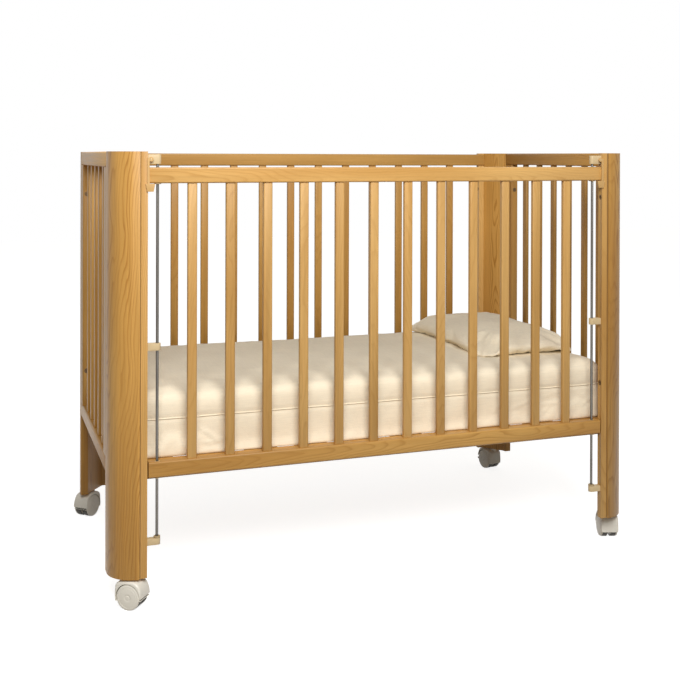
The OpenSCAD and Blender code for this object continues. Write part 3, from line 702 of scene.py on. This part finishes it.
class CRIB_OT_finish_rails(bpy.types.Operator):
    """Finish the rails of the drop side, the back and both ends"""
    bl_idname = "crib.finish_rails"
    bl_label = "Rails"

    def execute(self, context):
        finish = lacquered_wood("rail")
        finish_wood("drop_top_rail", X, (0.060, -0.020), finish)
        # Painted shade: the bottom rail is painted darker than the top one, as light falls off towards the
        # floor
        low = lacquered_wood("low_rail_shaded")
        finish_wood("drop_bottom_rail", X, (0.050, 0.030), low)
        # Painted shade: the back's rails take the darker wood, as they stand in shade
        back = lacquered_wood("back")
        for node in ("back_top_rail", "back_bottom_rail"):
            finish_wood(node, X, (0.070, 0.015), back)
        ends = lacquered_wood("end")
        plain = lacquered_wood("plain")
        for side, sign in ENDS.items():
            # Painted shade: the right end's rails and stiles are made darker, away from the key light
            shade = -0.12 if sign > 0 else 0.0
            # Painted light: the left end's top rail takes the pale wood painted as its highlight
            top = plain if sign < 0 else ends
            finish_wood(side + "_end_top_rail", Y, (-0.055 * sign, 0.02), top, shade)
            finish_wood(side + "_end_bottom_rail", Y, (-0.055 * sign, 0.02), ends, shade)
            finish_wood(side + "_end_stiles", Z, (-0.060 * sign, 0.015), ends, shade)
        return {"FINISHED"}


class CRIB_OT_finish_slats(bpy.types.Operator):
    """Finish the slats of the drop side, the back and both ends"""
    bl_idname = "crib.finish_slats"
    bl_label = "Slats"

    def execute(self, context):
        finish_wood("drop_slats", Z, (0.012, 0.085), lacquered_wood("slat"))
        # Painted shade: the back and end slats take a darker copy of the slat wood
        finish = lacquered_wood("inner_slat_shaded")
        finish_wood("back_slats", Z, (0.010, 0.085), finish)
        for side, sign in ENDS.items():
            # Painted shade and painted light: the right end's slats are made darker and the left end's
            # paler, as the key light falls from the left
            shade = -0.25 if sign > 0 else 0.12
            finish_wood(side + "_end_slats", Z, (-0.08 * sign, 0.012), finish, shade)
        return {"FINISHED"}


class CRIB_OT_finish_base(bpy.types.Operator):
    """Finish the base under the mattress"""
    bl_idname = "crib.finish_base"
    bl_label = "Base"

    def execute(self, context):
        finish = lacquered_wood("base")
        finish_wood("base_bearers", X, (0.06, 0.03), finish)
        finish_wood("base_slats", Y, (0.02, 0.09), finish)
        return {"FINISHED"}


# Fittings


def socket_outline(size, steps):
    """The outline of a hexagon socket."""
    outline = []
    for i in range(steps):
        turn = 2 * math.pi * i / steps
        radius = size * math.cos(math.pi / 6) / math.cos((turn % (math.pi / 3)) - math.pi / 6)
        outline.append((radius * math.cos(turn), radius * math.sin(turn)))
    return outline


def add_bolt(bm, place, length):
    """A bolt along local -Z whose head's top lies at the origin, with a hexagon socket."""
    steps = 48
    shank_r, head_r, head_h = BOLT_SHANK_R, BOLT_HEAD_R, BOLT_HEAD_H
    tip, ease = 0.0005, 0.16 * head_h
    outer = [(0.0, -length), (shank_r - tip, -length), (shank_r, -length + tip),
             (shank_r, -head_h), (head_r - ease, -head_h), (head_r, -head_h + ease),
             (head_r, -2 * ease), (head_r - 0.5 * ease, -0.5 * ease), (head_r - 2 * ease, 0.0)]
    last = turned(bm, outer, steps, place)[-1]
    for scale, depth in ((1.06, 0.0), (1.0, -0.12 * BOLT_SOCKET_DEPTH), (0.97, -BOLT_SOCKET_DEPTH)):
        ring = [bm.verts.new(place @ Vector((x * scale, y * scale, depth)))
                for x, y in socket_outline(BOLT_SOCKET_R, steps)]
        join_rings(bm, last, ring)
        last = ring
    bm.faces.new(last)


def facing(point, direction):
    """A placement whose local Z looks along a direction."""
    return Matrix.Translation(point) @ Vector(direction).to_track_quat("Z", "Y").to_matrix().to_4x4()


def bolts_in(node, axis, outward, finish):
    """Detailed bolts in the places of a node's plain ones. outward gives the head's direction."""
    bm = bmesh.new()
    for low, high in solids_of(node):
        middle = (low + high) / 2
        direction = outward(middle)
        head = Vector(middle)
        head[axis] = high[axis] if direction[axis] > 0 else low[axis]
        add_bolt(bm, facing(head, direction), high[axis] - low[axis])
    mesh = mesh_from("socket_" + node, bm)
    smooth_by_angle(mesh)
    stand_for(new_piece("socket_" + node, mesh, finish), node)


class CRIB_OT_build_fasteners(bpy.types.Operator):
    """Build the frame bolts, and finish the base's irons and bolts"""
    bl_idname = "crib.build_fasteners"
    bl_label = "Fasteners"

    def execute(self, context):
        fittings = fitting_settings()
        bronze = drawn_steel("bronzed_steel", fittings.bronze, X, 0.34)
        zinc = drawn_steel("zinc_plated_steel", fittings.steel, X, 0.32)
        bolts_in("strip_bolts", X, lambda m: (-math.copysign(1, m[X]), 0, 0), bronze)
        bolts_in("end_bolts", Y, lambda m: (0, -math.copysign(1, m[Y]), 0), bronze)
        finish_part("base_irons", zinc, 0.0005)
        finish_part("base_bolts", zinc, 0.0006)
        return {"FINISHED"}


class CRIB_OT_finish_brackets(bpy.types.Operator):
    """Finish the brackets that hold the guide rods"""
    bl_idname = "crib.finish_brackets"
    bl_label = "Brackets"

    def execute(self, context):
        plastic = moulded_plastic("bracket_plastic_tan", fitting_settings().bracket, 0.42)
        for node in ("top_brackets", "middle_brackets", "bottom_brackets"):
            finish_part(node, plastic, 0.0009, 3)
        refinish("drop_bushes", plastic)
        return {"FINISHED"}


class CRIB_OT_finish_catches(bpy.types.Operator):
    """Finish the two catches that hold the drop side up"""
    bl_idname = "crib.finish_catches"
    bl_label = "Catches"

    def execute(self, context):
        plastic = moulded_plastic("catch_plastic_tan", fitting_settings().catch, 0.42)
        for node in ("catch_left", "catch_right"):
            finish_part(node, plastic, 0.0007, 3)
        return {"FINISHED"}


class CRIB_OT_finish_rods(bpy.types.Operator):
    """Finish the guide rods and their rubber stops"""
    bl_idname = "crib.finish_rods"
    bl_label = "Guide Rods"

    def execute(self, context):
        fittings = fitting_settings()
        finish_part("guide_rods", drawn_steel("rod_steel", fittings.rod, Z, 0.30), 0.0006, 3, 50)
        finish_part("rod_stops", soft_rubber("stop_rubber", fittings.stop), 0.0007, 3, 50)
        return {"FINISHED"}


# Casters


def caster_place(corner):
    """Axle's middle, axle's direction and trailing direction of a caster, from its CAD axle."""
    points = cad_points("caster_axles_" + corner)
    middle = (points.min(0) + points.max(0)) / 2
    spread = points - middle
    axis = np.linalg.eigh(spread.T @ spread)[1][:, -1]
    fork = cad_points("caster_" + corner + "_fork")
    top = fork[fork[:, 2] > fork[:, 2].max() - 0.002]
    stem = (top.min(0) + top.max(0)) / 2
    trailing = Vector((middle[0] - stem[0], middle[1] - stem[1], 0)).normalized()
    side = Vector((axis[0], axis[1], 0)).normalized()
    return Vector(middle), side, trailing


def add_hood(bm, outline, pocket, half_w, soft, put):
    """A moulded hood: an outline in (along, up) swept over the wheels, with soft side edges."""
    loops = []
    for along, up in outline:
        far = math.hypot(along, up)
        ease = max(0.0004, min(soft, far - pocket - 0.0008))
        section = [(pocket, half_w)]
        for k in range(6):
            turn = math.radians(18 * k)
            section.append((far - ease * (1 - math.sin(turn)), half_w - ease * (1 - math.cos(turn))))
        section += [(r, -y) for r, y in reversed(section)]
        loops.append([bm.verts.new(put(along * r / far, y, up * r / far)) for r, y in section])
    for a, b in zip(loops, loops[1:]):
        join_rings(bm, a, b)
    bm.faces.new(loops[0])
    bm.faces.new(list(reversed(loops[-1])))


def add_web(bm, outline, reach, boss_r, half_t, put):
    """The plate between the two wheels, from the hood down to the boss round the axle."""
    rim = [(a * reach / math.hypot(a, u), u * reach / math.hypot(a, u)) for a, u in outline if u > 0.002]
    first, last = rim[0][1], rim[-1][1]
    boss = [math.radians(180 + 180 * k / 16) for k in range(17)]
    foot = [(boss_r * math.cos(t), min(boss_r * math.sin(t), first if math.cos(t) < 0 else last))
            for t in reversed(boss)]
    plate = rim + foot
    sides = [[bm.verts.new(put(a, y, u)) for a, u in plate] for y in (half_t, -half_t)]
    bm.faces.new(sides[0])
    bm.faces.new(list(reversed(sides[1])))
    join_rings(bm, *sides)


def build_fork(corner, plastic):
    """The caster's moulded fork, with its outline and sizes taken from the CAD fork."""
    middle, side, trailing = caster_place(corner)
    name = "caster_" + corner + "_fork"
    points = cad_points(name) - np.array(middle)
    along, across, up = points @ np.array(trailing), points @ np.array(side), points[:, 2]
    half_w = np.abs(across[along > 0.02]).max()
    rim = (np.abs(across) > half_w - 0.0002) & (np.hypot(along, up) > 0.02)
    far = np.hypot(along[rim], up[rim])
    pocket = far.min()
    outer = [(float(a), float(u)) for a, u, f in zip(along[rim], up[rim], far) if f > pocket + 0.0008]
    turns = {}
    for a, u in outer:
        turns[round(math.degrees(math.atan2(u, -a)), 1)] = (a, u)
    outline = [turns[key] for key in sorted(turns)]
    bm = bmesh.new()

    def put(a, y, u):
        return middle + trailing * a + side * y + Vector((0, 0, u))

    add_hood(bm, outline, pocket, half_w, soft=0.005, put=put)
    add_web(bm, outline, reach=pocket + 0.001, boss_r=0.007, half_t=0.003, put=put)
    stem = along < -0.012
    centre = float(along[up > up.max() - 0.002].mean())
    base = put(centre, 0, 0)
    top = float(up.max())
    neck = float(up[stem & (np.hypot(along - centre, across) > 0.007) & (up < top - 0.010)].max())
    turned(bm, [(0.0, 0.020), (0.0075, 0.020), (0.0075, neck - 0.0006), (0.0069, neck), (0.0055, neck),
                (0.0055, top - 0.0010), (0.0045, top), (0.0, top)], 40, Matrix.Translation(base))
    mesh = mesh_from("finished_" + name, bm)
    smooth_by_angle(mesh, 38)
    stand_for(new_piece("finished_" + name, mesh, plastic), name)


def build_wheels(corner, plastic, rubber):
    """Side discs and treads of one caster, with their sizes taken from the CAD wheels."""
    middle, side, _ = caster_place(corner)
    name = "caster_" + corner
    reach = {}
    for kind in ("wheels", "treads"):
        points = cad_points(name + "_" + kind) - np.array(middle)
        across = np.abs(points @ np.array(side))
        reach[kind] = (float(across.min()), float(across.max()), float(points[:, 2].max()))
    inner, outer, disc_r = reach["wheels"]
    _, flat, radius = reach["treads"]
    hub_r = radius - 0.003
    disc = [(DISC_BORE_R, inner), (hub_r, inner), (hub_r, flat), (disc_r - 0.0006, flat),
            (disc_r, flat + 0.0006)]
    disc += [(disc_r - inset, outer + rise) for inset, rise in DISC_RIM]
    disc += [(hub, outer + rise) for hub, rise in DISC_HUB]
    tread = [(hub_r, inner), (radius - 0.0010, inner), (radius - 0.0003, inner + 0.0004),
             (radius, inner + 0.0012)]
    for k in (1, 2, 3):
        at = inner + (flat - inner) * k / 4
        tread += [(radius - depth, at + step) for step, depth in TREAD_GROOVE]
    tread += [(radius, flat - 0.0008), (radius - 0.0004, flat), (hub_r, flat)]
    discs, treads = bmesh.new(), bmesh.new()
    for sign in (1, -1):
        place = facing(middle, side * sign)
        turned(discs, disc, WHEEL_STEPS, place)
        turned(treads, tread, WHEEL_STEPS, place)
    for bm, kind, finish in ((discs, "wheels", plastic), (treads, "treads", rubber)):
        mesh = mesh_from(name + "_turned_" + kind, bm)
        smooth_by_angle(mesh, 30)
        stand_for(new_piece(name + "_turned_" + kind, mesh, finish), name + "_" + kind)


class CRIB_OT_build_casters(bpy.types.Operator):
    """Build the four twin-wheel casters"""
    bl_idname = "crib.build_casters"
    bl_label = "Casters"

    def execute(self, context):
        fittings = fitting_settings()
        plastic = moulded_plastic("caster_plastic_cream", fittings.caster, 0.36)
        rubber = soft_rubber("tread_rubber_grey", fittings.rubber)
        steel = drawn_steel("axle_steel", fittings.steel, Y, 0.3)
        for corner in CORNERS:
            build_fork(corner, plastic)
            build_wheels(corner, plastic, rubber)
            finish_part("caster_axles_" + corner, steel, 0.0005, 2, 50)
        refinish("caster_sockets", steel)
        return {"FINISHED"}


# Bedding


def even_copy(node, name, voxel, inward):
    """A soft node's form, drawn in a little and meshed evenly for the simulation."""
    bm = welded(node)
    bmesh.ops.recalc_face_normals(bm, faces=bm.faces)
    for vert in bm.verts:
        vert.co -= vert.normal * inward
    finish = woven_cotton("bedding_cotton", bedding_settings().cloth)
    piece = new_piece(name, mesh_from(name, bm), finish)
    even = piece.modifiers.new("Even mesh", "REMESH")
    even.mode = "VOXEL"
    even.voxel_size = voxel
    apply_modifiers(piece)
    relax = piece.modifiers.new("Relax", "SMOOTH")
    relax.factor = 0.5
    relax.iterations = 3
    apply_modifiers(piece)
    return piece


def fill_lower_edge(piece, low, high, edge, corner, power):
    """Fills a cushion's rounded lower edge out to a squarer one, as firm foam in a tight cover has.
    power is 2 for the round edge, and higher for a squarer one."""
    points = points_of(piece.data)
    middle, half = np.array(low + high) / 2, np.array(high - low) / 2
    across = points[:, :2] - middle[:2]
    reach = np.abs(across) - (half[:2] - corner)
    beyond = np.maximum(reach, 0)
    length = np.linalg.norm(beyond, axis=1)
    straight = reach == reach.max(axis=1, keepdims=True)
    outward = np.where(length[:, None] > 1e-9, beyond / np.maximum(length, 1e-9)[:, None], straight)
    inset = corner - length - np.minimum(reach.max(axis=1), 0)
    a = np.clip(1 - inset / edge, 0, 2)
    b = np.clip(1 - (points[:, 2] - low.z) / edge, 0, 2)
    squarer = np.maximum((a ** power + b ** power) ** (1 / power), 1e-9)
    grow = np.where((a > 0) & (b > 0), np.hypot(a, b) / squarer, 1.0) - 1.0
    points[:, :2] += outward * np.sign(across) * (edge * a * grow)[:, None]
    points[:, 2] -= edge * b * grow + (points[:, 2].min() - low.z) * np.clip(b, 0, 1)
    put_points(piece.data, points)


def settle(piece, underside, slack, cap, stiffness):
    """Lets a cover fill out as cloth. The points below underside are held, and none moves further
    than cap. slack is the share by which the cloth grows."""
    before = points_of(piece.data)
    frames = bedding_settings().frames
    held = np.nonzero(before[:, 2] < underside)[0]
    piece.vertex_groups.new(name="held").add([int(i) for i in held], 1.0, "REPLACE")
    cloth = piece.modifiers.new("Cover", "CLOTH")
    cloth.settings.quality = 6
    cloth.settings.mass = 0.25
    cloth.settings.tension_stiffness = stiffness
    cloth.settings.compression_stiffness = stiffness
    cloth.settings.shear_stiffness = stiffness * 0.4
    cloth.settings.bending_stiffness = 0.6
    cloth.settings.use_pressure = True
    cloth.settings.uniform_pressure_force = 3.0
    cloth.settings.shrink_min = -slack
    cloth.settings.effector_weights.gravity = 0
    cloth.collision_settings.use_collision = False
    cloth.settings.vertex_group_mass = "held"
    cloth.settings.pin_stiffness = 1.0
    cloth.point_cache.frame_start = 1
    cloth.point_cache.frame_end = frames
    for number in range(1, frames + 1):
        bpy.context.scene.frame_set(number)
    apply_modifiers(piece)
    bpy.context.scene.frame_set(1)
    piece.vertex_groups.clear()
    moved = points_of(piece.data) - before
    length = np.linalg.norm(moved, axis=1, keepdims=True)
    moved *= np.minimum(1.0, cap / np.maximum(length, 1e-9))
    put_points(piece.data, before + moved)


def subdivide(piece):
    finer = piece.modifiers.new("Finer", "SUBSURF")
    finer.levels = finer.render_levels = 1
    apply_modifiers(piece)
    for face in piece.data.polygons:
        face.use_smooth = True


def normals_of(mesh):
    out = np.zeros(len(mesh.vertices) * 3, dtype=np.float32)
    mesh.vertex_normals.foreach_get("vector", out)
    return out.reshape(-1, 3).astype(float)


def fold(points, normals, line, width, depth, lip=0.45):
    """Presses a fold along a line of points: a groove with a raised lip on its upper side."""
    line = np.asarray(line, dtype=float)
    best = np.full(len(points), 1e9)
    side = np.zeros(len(points))
    fade = np.zeros(len(points))
    lengths = np.linalg.norm(np.diff(line, axis=0), axis=1)
    total, run = lengths.sum(), 0.0
    for a, b, length in zip(line, line[1:], lengths):
        direction = (b - a) / length
        t = np.clip((points - a) @ direction, 0, length)
        offset = points - (a + t[:, None] * direction)
        distance = np.linalg.norm(offset, axis=1)
        nearer = distance < best
        best[nearer] = distance[nearer]
        side[nearer] = np.sign(np.cross(direction, offset[nearer]) @ np.array((0, -1.0, 0)) + 1e-12)
        along = (run + t) / total
        fade[nearer] = np.sin(np.pi * np.clip(along[nearer], 0.02, 0.98)) ** 0.6
        run += length
    groove = -depth * np.exp(-((best / (0.45 * width)) ** 2))
    ridge = lip * depth * np.exp(-(((best - width) / (0.6 * width)) ** 2)) * (side > 0)
    return points + normals * ((groove + ridge) * fade)[:, None]


def edge_path(tree, outline, lift):
    """Drops an outline onto a surface, from outside, and lifts it clear by lift."""
    path = []
    centre = sum((Vector(p) for p in outline), Vector()) / len(outline)
    for point in outline:
        start = Vector(point)
        inward = Vector((centre.x - start.x, centre.y - start.y, 0))
        reach = Vector((start.x, start.y, 0)) - Vector((centre.x, centre.y, 0))
        inward.normalize()
        hit, normal, _, _ = tree.ray_cast(start - inward * 0.08, inward, reach.length)
        path.append(hit + normal * lift if hit is not None else start)
    return path


def rounded_outline(low, high, radius, z, steps):
    """A level rounded rectangle, evenly stepped."""
    corners = [(high[0] - radius, high[1] - radius, 0), (low[0] + radius, high[1] - radius, 90),
               (low[0] + radius, low[1] + radius, 180), (high[0] - radius, low[1] + radius, 270)]
    loop = []
    for cx, cy, start in corners:
        for i in range(13):
            turn = math.radians(start + 90 * i / 12)
            loop.append(Vector((cx + radius * math.cos(turn), cy + radius * math.sin(turn), z)))
    lengths = [(loop[(i + 1) % len(loop)] - p).length for i, p in enumerate(loop)]
    total, out = sum(lengths), []
    for k in range(steps):
        want, i = total * k / steps, 0
        while want > lengths[i]:
            want -= lengths[i]
            i += 1
        out.append(loop[i].lerp(loop[(i + 1) % len(loop)], want / max(lengths[i], 1e-9)))
    return out


def piping(name, path, radius, finish):
    """A closed cord of stitched piping along a path, slightly gathered."""
    bm = bmesh.new()
    count, ring_steps = len(path), 8
    rings = []
    for i, point in enumerate(path):
        tangent = (path[(i + 1) % count] - path[i - 1]).normalized()
        out = tangent.cross(Vector((0, 0, 1))).normalized()
        up = out.cross(tangent).normalized()
        size = radius * (1 + 0.06 * math.sin(i * 2.4))
        rings.append([bm.verts.new(point + (out * math.cos(2 * math.pi * k / ring_steps)
                                            + up * math.sin(2 * math.pi * k / ring_steps)) * size)
                      for k in range(ring_steps)])
    for i in range(count):
        join_rings(bm, rings[i], rings[(i + 1) % count])
    mesh = mesh_from(name, bm)
    for face in mesh.polygons:
        face.use_smooth = True
    return new_piece(name, mesh, finish)


def surface_tree(piece):
    bm = bmesh.new()
    bm.from_mesh(piece.data)
    tree = BVHTree.FromBMesh(bm)
    bm.free()
    return tree


def waves(points, seed, size):
    """Smooth, seeded unevenness between -1 and 1."""
    draw = np.random.default_rng(seed)
    total = np.zeros(len(points))
    for _ in range(9):
        direction = draw.normal(size=3)
        direction /= np.linalg.norm(direction)
        total += np.sin(points @ direction * (2 * np.pi / (size * draw.uniform(0.6, 1.7)))
                        + draw.uniform(0, 2 * np.pi))
    return total / 4.0


# Folds in the mattress cover's front: (x, height over the underside) from end to end, width, depth
FRONT_FOLDS = (
    (((-0.432, 0.062), (-0.424, 0.048), (-0.408, 0.040), (-0.398, 0.025), (-0.380, 0.022), (-0.366, 0.030)),
     0.0055, 0.0050),
    (((-0.425, 0.019), (-0.395, 0.015), (-0.372, 0.019)), 0.006, 0.0037),
    (((0.060, 0.040), (0.085, 0.055), (0.105, 0.066)), 0.0040, 0.0031),
    (((0.270, 0.026), (0.300, 0.050), (0.312, 0.062)), 0.0040, 0.0034),
    (((0.318, 0.032), (0.352, 0.042), (0.400, 0.059)), 0.0045, 0.0047),
    (((0.396, 0.049), (0.430, 0.060), (0.470, 0.070)), 0.0042, 0.0040),
    (((0.392, 0.040), (0.425, 0.039), (0.462, 0.041)), 0.0050, 0.0047),
    (((0.408, 0.014), (0.420, 0.024), (0.431, 0.037)), 0.0045, 0.0040),
    (((0.505, 0.060), (0.530, 0.046), (0.545, 0.025)), 0.0060, 0.0043),
    (((0.520, 0.028), (0.540, 0.040), (0.556, 0.060)), 0.0060, 0.0034),
)


class CRIB_OT_build_mattress(bpy.types.Operator):
    """Build the mattress in its fitted cover"""
    bl_idname = "crib.build_mattress"
    bl_label = "Mattress"

    def execute(self, context):
        bedding = bedding_settings()
        low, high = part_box("mattress")
        piece = even_copy("mattress", "mattress_cover", bedding.mattress_mesh, 0.0012)
        fill_lower_edge(piece, low, high, MATTRESS_EDGE, MATTRESS_CORNER, 8.0)
        settle(piece, low.z + 0.004, slack=0.018, cap=0.0045, stiffness=14.0)
        subdivide(piece)
        points, normals = points_of(piece.data), normals_of(piece.data)
        # The seam draws the border in, and the sides bulge a little above and below it
        seam_z = low.z + bedding.seam_height
        side = np.clip(1.0 - np.abs(normals[:, 2]) * 1.4, 0, 1)
        seam = np.exp(-(((points[:, 2] - seam_z) / 0.0035) ** 2))
        gather = waves(points * (1, 1, 0.15), 11, 0.055)
        crumple = waves(points, 5, 0.085) * 0.0011 + waves(points * (1, 1, 0.5), 8, 0.028) * 0.00035
        amount = crumple - side * seam * (0.0022 + 0.0004 * gather)
        below = np.clip((seam_z - points[:, 2]) / 0.03, 0, 1)
        amount += side * below * gather * 0.0007
        points = points + normals * amount[:, None]
        for line, width, depth in FRONT_FOLDS:
            points = fold(points, normals, [(x, low.y, low.z + up) for x, up in line], width, depth)
        points = np.clip(points, np.array(low) - (0.002, 0.002, 0), np.array(high) + (0.002, 0.002, 0.003))
        put_points(piece.data, points)
        outline = rounded_outline(low, high, MATTRESS_CORNER, seam_z, 420)
        path = edge_path(surface_tree(piece), outline, 0.0004)
        cord = piping("mattress_seam_piping", path, 0.0013, FINISHES["bedding_cotton"])
        stand_for(piece, "mattress")
        attach(cord, "mattress")
        return {"FINISHED"}


# Creases in the pillow: points on or near its cover as shares of its box, with width and depth
PILLOW_FOLDS = (
    (((0.030, 0.36, 0.50), (0.055, 0.40, 0.62), (0.050, 0.46, 0.60), (0.025, 0.50, 0.48)), 0.006, 0.0034),
    (((0.05, 0.20, 0.55), (0.16, 0.22, 0.80), (0.28, 0.27, 0.92)), 0.008, 0.0026),
    (((0.10, 0.06, 0.40), (0.20, 0.13, 0.72), (0.33, 0.18, 0.88)), 0.008, 0.0028),
    (((0.45, 0.03, 0.42), (0.62, 0.05, 0.50), (0.85, 0.04, 0.42)), 0.006, 0.0026),
    (((0.97, 0.05, 0.30), (0.88, 0.12, 0.66), (0.76, 0.20, 0.88)), 0.008, 0.0030),
    (((0.06, 0.88, 0.50), (0.16, 0.80, 0.78), (0.28, 0.74, 0.92)), 0.009, 0.0024),
)


class CRIB_OT_build_pillow(bpy.types.Operator):
    """Build the pillow in its case"""
    bl_idname = "crib.build_pillow"
    bl_label = "Pillow"

    def execute(self, context):
        bedding = bedding_settings()
        low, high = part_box("pillow")
        middle = (low + high) / 2
        piece = even_copy("pillow", "pillow_case", bedding.pillow_mesh, 0.0015)
        settle(piece, low.z + 0.003, slack=0.05, cap=0.007, stiffness=12.0)
        subdivide(piece)
        points, normals = points_of(piece.data), normals_of(piece.data)
        seam_z = low.z + bedding.pillow_seam
        side = np.clip(1.0 - np.abs(normals[:, 2]) * 1.2, 0, 1)
        seam = np.exp(-(((points[:, 2] - seam_z) / 0.0040) ** 2))
        # Folds fan out from the corners, where the case has more cloth than filling
        from_middle = points - np.array(middle)
        corner_x = np.abs(from_middle[:, 0]) / (0.5 * (high.x - low.x))
        corner_y = np.abs(from_middle[:, 1]) / (0.5 * (high.y - low.y))
        corner = np.clip(corner_x * corner_y * 1.5 - 0.35, 0, 1)
        turn = np.arctan2(1.02 - corner_y, 1.02 - corner_x)
        amount = -side * seam * 0.0022 + corner * np.sin(turn * 13.0) * 0.0016
        amount += waves(points, 21, 0.075) * 0.0018 + waves(points, 22, 0.026) * 0.0005
        points = points + normals * amount[:, None]
        size = np.array(high - low)
        for line, width, depth in PILLOW_FOLDS:
            points = fold(points, normals, np.array(low) + np.array(line) * size, width, depth)
        points[:, 2] = np.maximum(points[:, 2], low.z)
        put_points(piece.data, points)
        stand_for(piece, "pillow")
        return {"FINISHED"}


# Stage


class CRIB_OT_set_stage(bpy.types.Operator):
    """Set up the floor, the lights and the camera"""
    bl_idname = "crib.set_stage"
    bl_label = "Stage"

    def execute(self, context):
        stage = stage_settings()
        scene = context.scene
        scene.view_settings.view_transform = "Standard"
        self.add_floor(stage)
        self.add_world(scene)
        self.add_light("key_light", *KEY_LAMP, stage.key_watts)
        self.add_light("fill_light", *FILL_LAMP, stage.fill_watts)
        camera = bpy.data.objects.new("camera", bpy.data.cameras.new("camera"))
        scene.collection.objects.link(camera)
        camera.data.lens = stage.lens
        camera.data.sensor_width = 36.0
        camera.data.shift_y = CAMERA_SHIFT
        camera.location = CAMERA_PLACE
        camera.rotation_euler = [math.radians(turn) for turn in CAMERA_TURN]
        scene.camera = camera
        return {"FINISHED"}

    def add_floor(self, stage):
        bm = bmesh.new()
        bmesh.ops.create_grid(bm, x_segments=8, y_segments=8, size=FLOOR_SIZE)
        mesh = mesh_from("floor", bm)
        material = bpy.data.materials.new("pale_floor")
        material.use_nodes = True
        tree = material.node_tree
        tree.nodes.clear()
        seen = sees_background(tree)
        thrown = add(tree, "ShaderNodeBsdfDiffuse", None, {"Color": tuple(stage.floor) + (1,)})
        lit = add(tree, "ShaderNodeBsdfDiffuse", None, {"Color": (0.8, 0.8, 0.8, 1)})
        white = add(tree, "ShaderNodeEmission", None, {"Color": WHITE, "Strength": FLOOR_GLOW})
        looks = add(tree, "ShaderNodeAddShader", None, {0: lit, 1: white})
        mixed = add(tree, "ShaderNodeMixShader", None, {0: seen, 1: thrown, 2: looks})
        add(tree, "ShaderNodeOutputMaterial", None, {"Surface": mixed}, None)
        new_piece("floor", mesh, material)

    def add_world(self, scene):
        world = bpy.data.worlds.new("studio")
        scene.world = world
        world.use_nodes = True
        tree = world.node_tree
        tree.nodes.clear()
        seen = sees_background(tree)
        room = {"Color": ROOM_COLOUR + (1,), "Strength": ROOM_STRENGTH}
        soft = add(tree, "ShaderNodeBackground", None, room)
        white = add(tree, "ShaderNodeBackground", None, {"Color": WHITE, "Strength": 1.0})
        mixed = add(tree, "ShaderNodeMixShader", None, {0: seen, 1: soft, 2: white})
        add(tree, "ShaderNodeOutputWorld", None, {"Surface": mixed}, None)

    def add_light(self, name, place, target, size, watts):
        light = bpy.data.lights.new(name, "AREA")
        light.shape = "DISK"
        light.size = size
        light.energy = watts
        lamp = bpy.data.objects.new(name, light)
        bpy.context.scene.collection.objects.link(lamp)
        lamp.location = place
        lamp.rotation_euler = (Vector(target) - Vector(place)).to_track_quat("-Z", "Y").to_euler()


OPERATORS = (
    CRIB_OT_set_stage,
    CRIB_OT_finish_posts,
    CRIB_OT_finish_rails,
    CRIB_OT_finish_slats,
    CRIB_OT_finish_base,
    CRIB_OT_build_fasteners,
    CRIB_OT_finish_brackets,
    CRIB_OT_finish_catches,
    CRIB_OT_finish_rods,
    CRIB_OT_build_casters,
    CRIB_OT_build_mattress,
    CRIB_OT_build_pillow,
)


class CRIB_PT_pieces(bpy.types.Panel):
    """The crib's pieces, each with its button"""
    bl_label = "Crib"
    bl_idname = "CRIB_PT_pieces"
    bl_space_type = "VIEW_3D"
    bl_region_type = "UI"
    bl_category = "Crib"

    def draw(self, context):
        layout = self.layout
        for name in ("crib_wood", "crib_fittings", "crib_bedding", "crib_stage"):
            group = getattr(context.scene, name)
            box = layout.box()
            for key in group.__annotations__:
                box.prop(group, key)
        for operator in OPERATORS:
            layout.operator(operator.bl_idname, text=operator.bl_label)


SETTINGS = {
    "crib_wood": CribWoodSettings,
    "crib_fittings": CribFittingSettings,
    "crib_bedding": CribBeddingSettings,
    "crib_stage": CribStageSettings,
}


def register():
    for name, group in SETTINGS.items():
        bpy.utils.register_class(group)
        setattr(bpy.types.Scene, name, PointerProperty(type=group))
    for operator in OPERATORS:
        bpy.utils.register_class(operator)
    bpy.utils.register_class(CRIB_PT_pieces)


def unregister():
    bpy.utils.unregister_class(CRIB_PT_pieces)
    for operator in reversed(OPERATORS):
        bpy.utils.unregister_class(operator)
    for name, group in SETTINGS.items():
        delattr(bpy.types.Scene, name)
        bpy.utils.unregister_class(group)


def main():
    register()
    for operator in OPERATORS:
        group, name = operator.bl_idname.split(".")
        getattr(getattr(bpy.ops, group), name)()


if __name__ == "__main__":
    main()
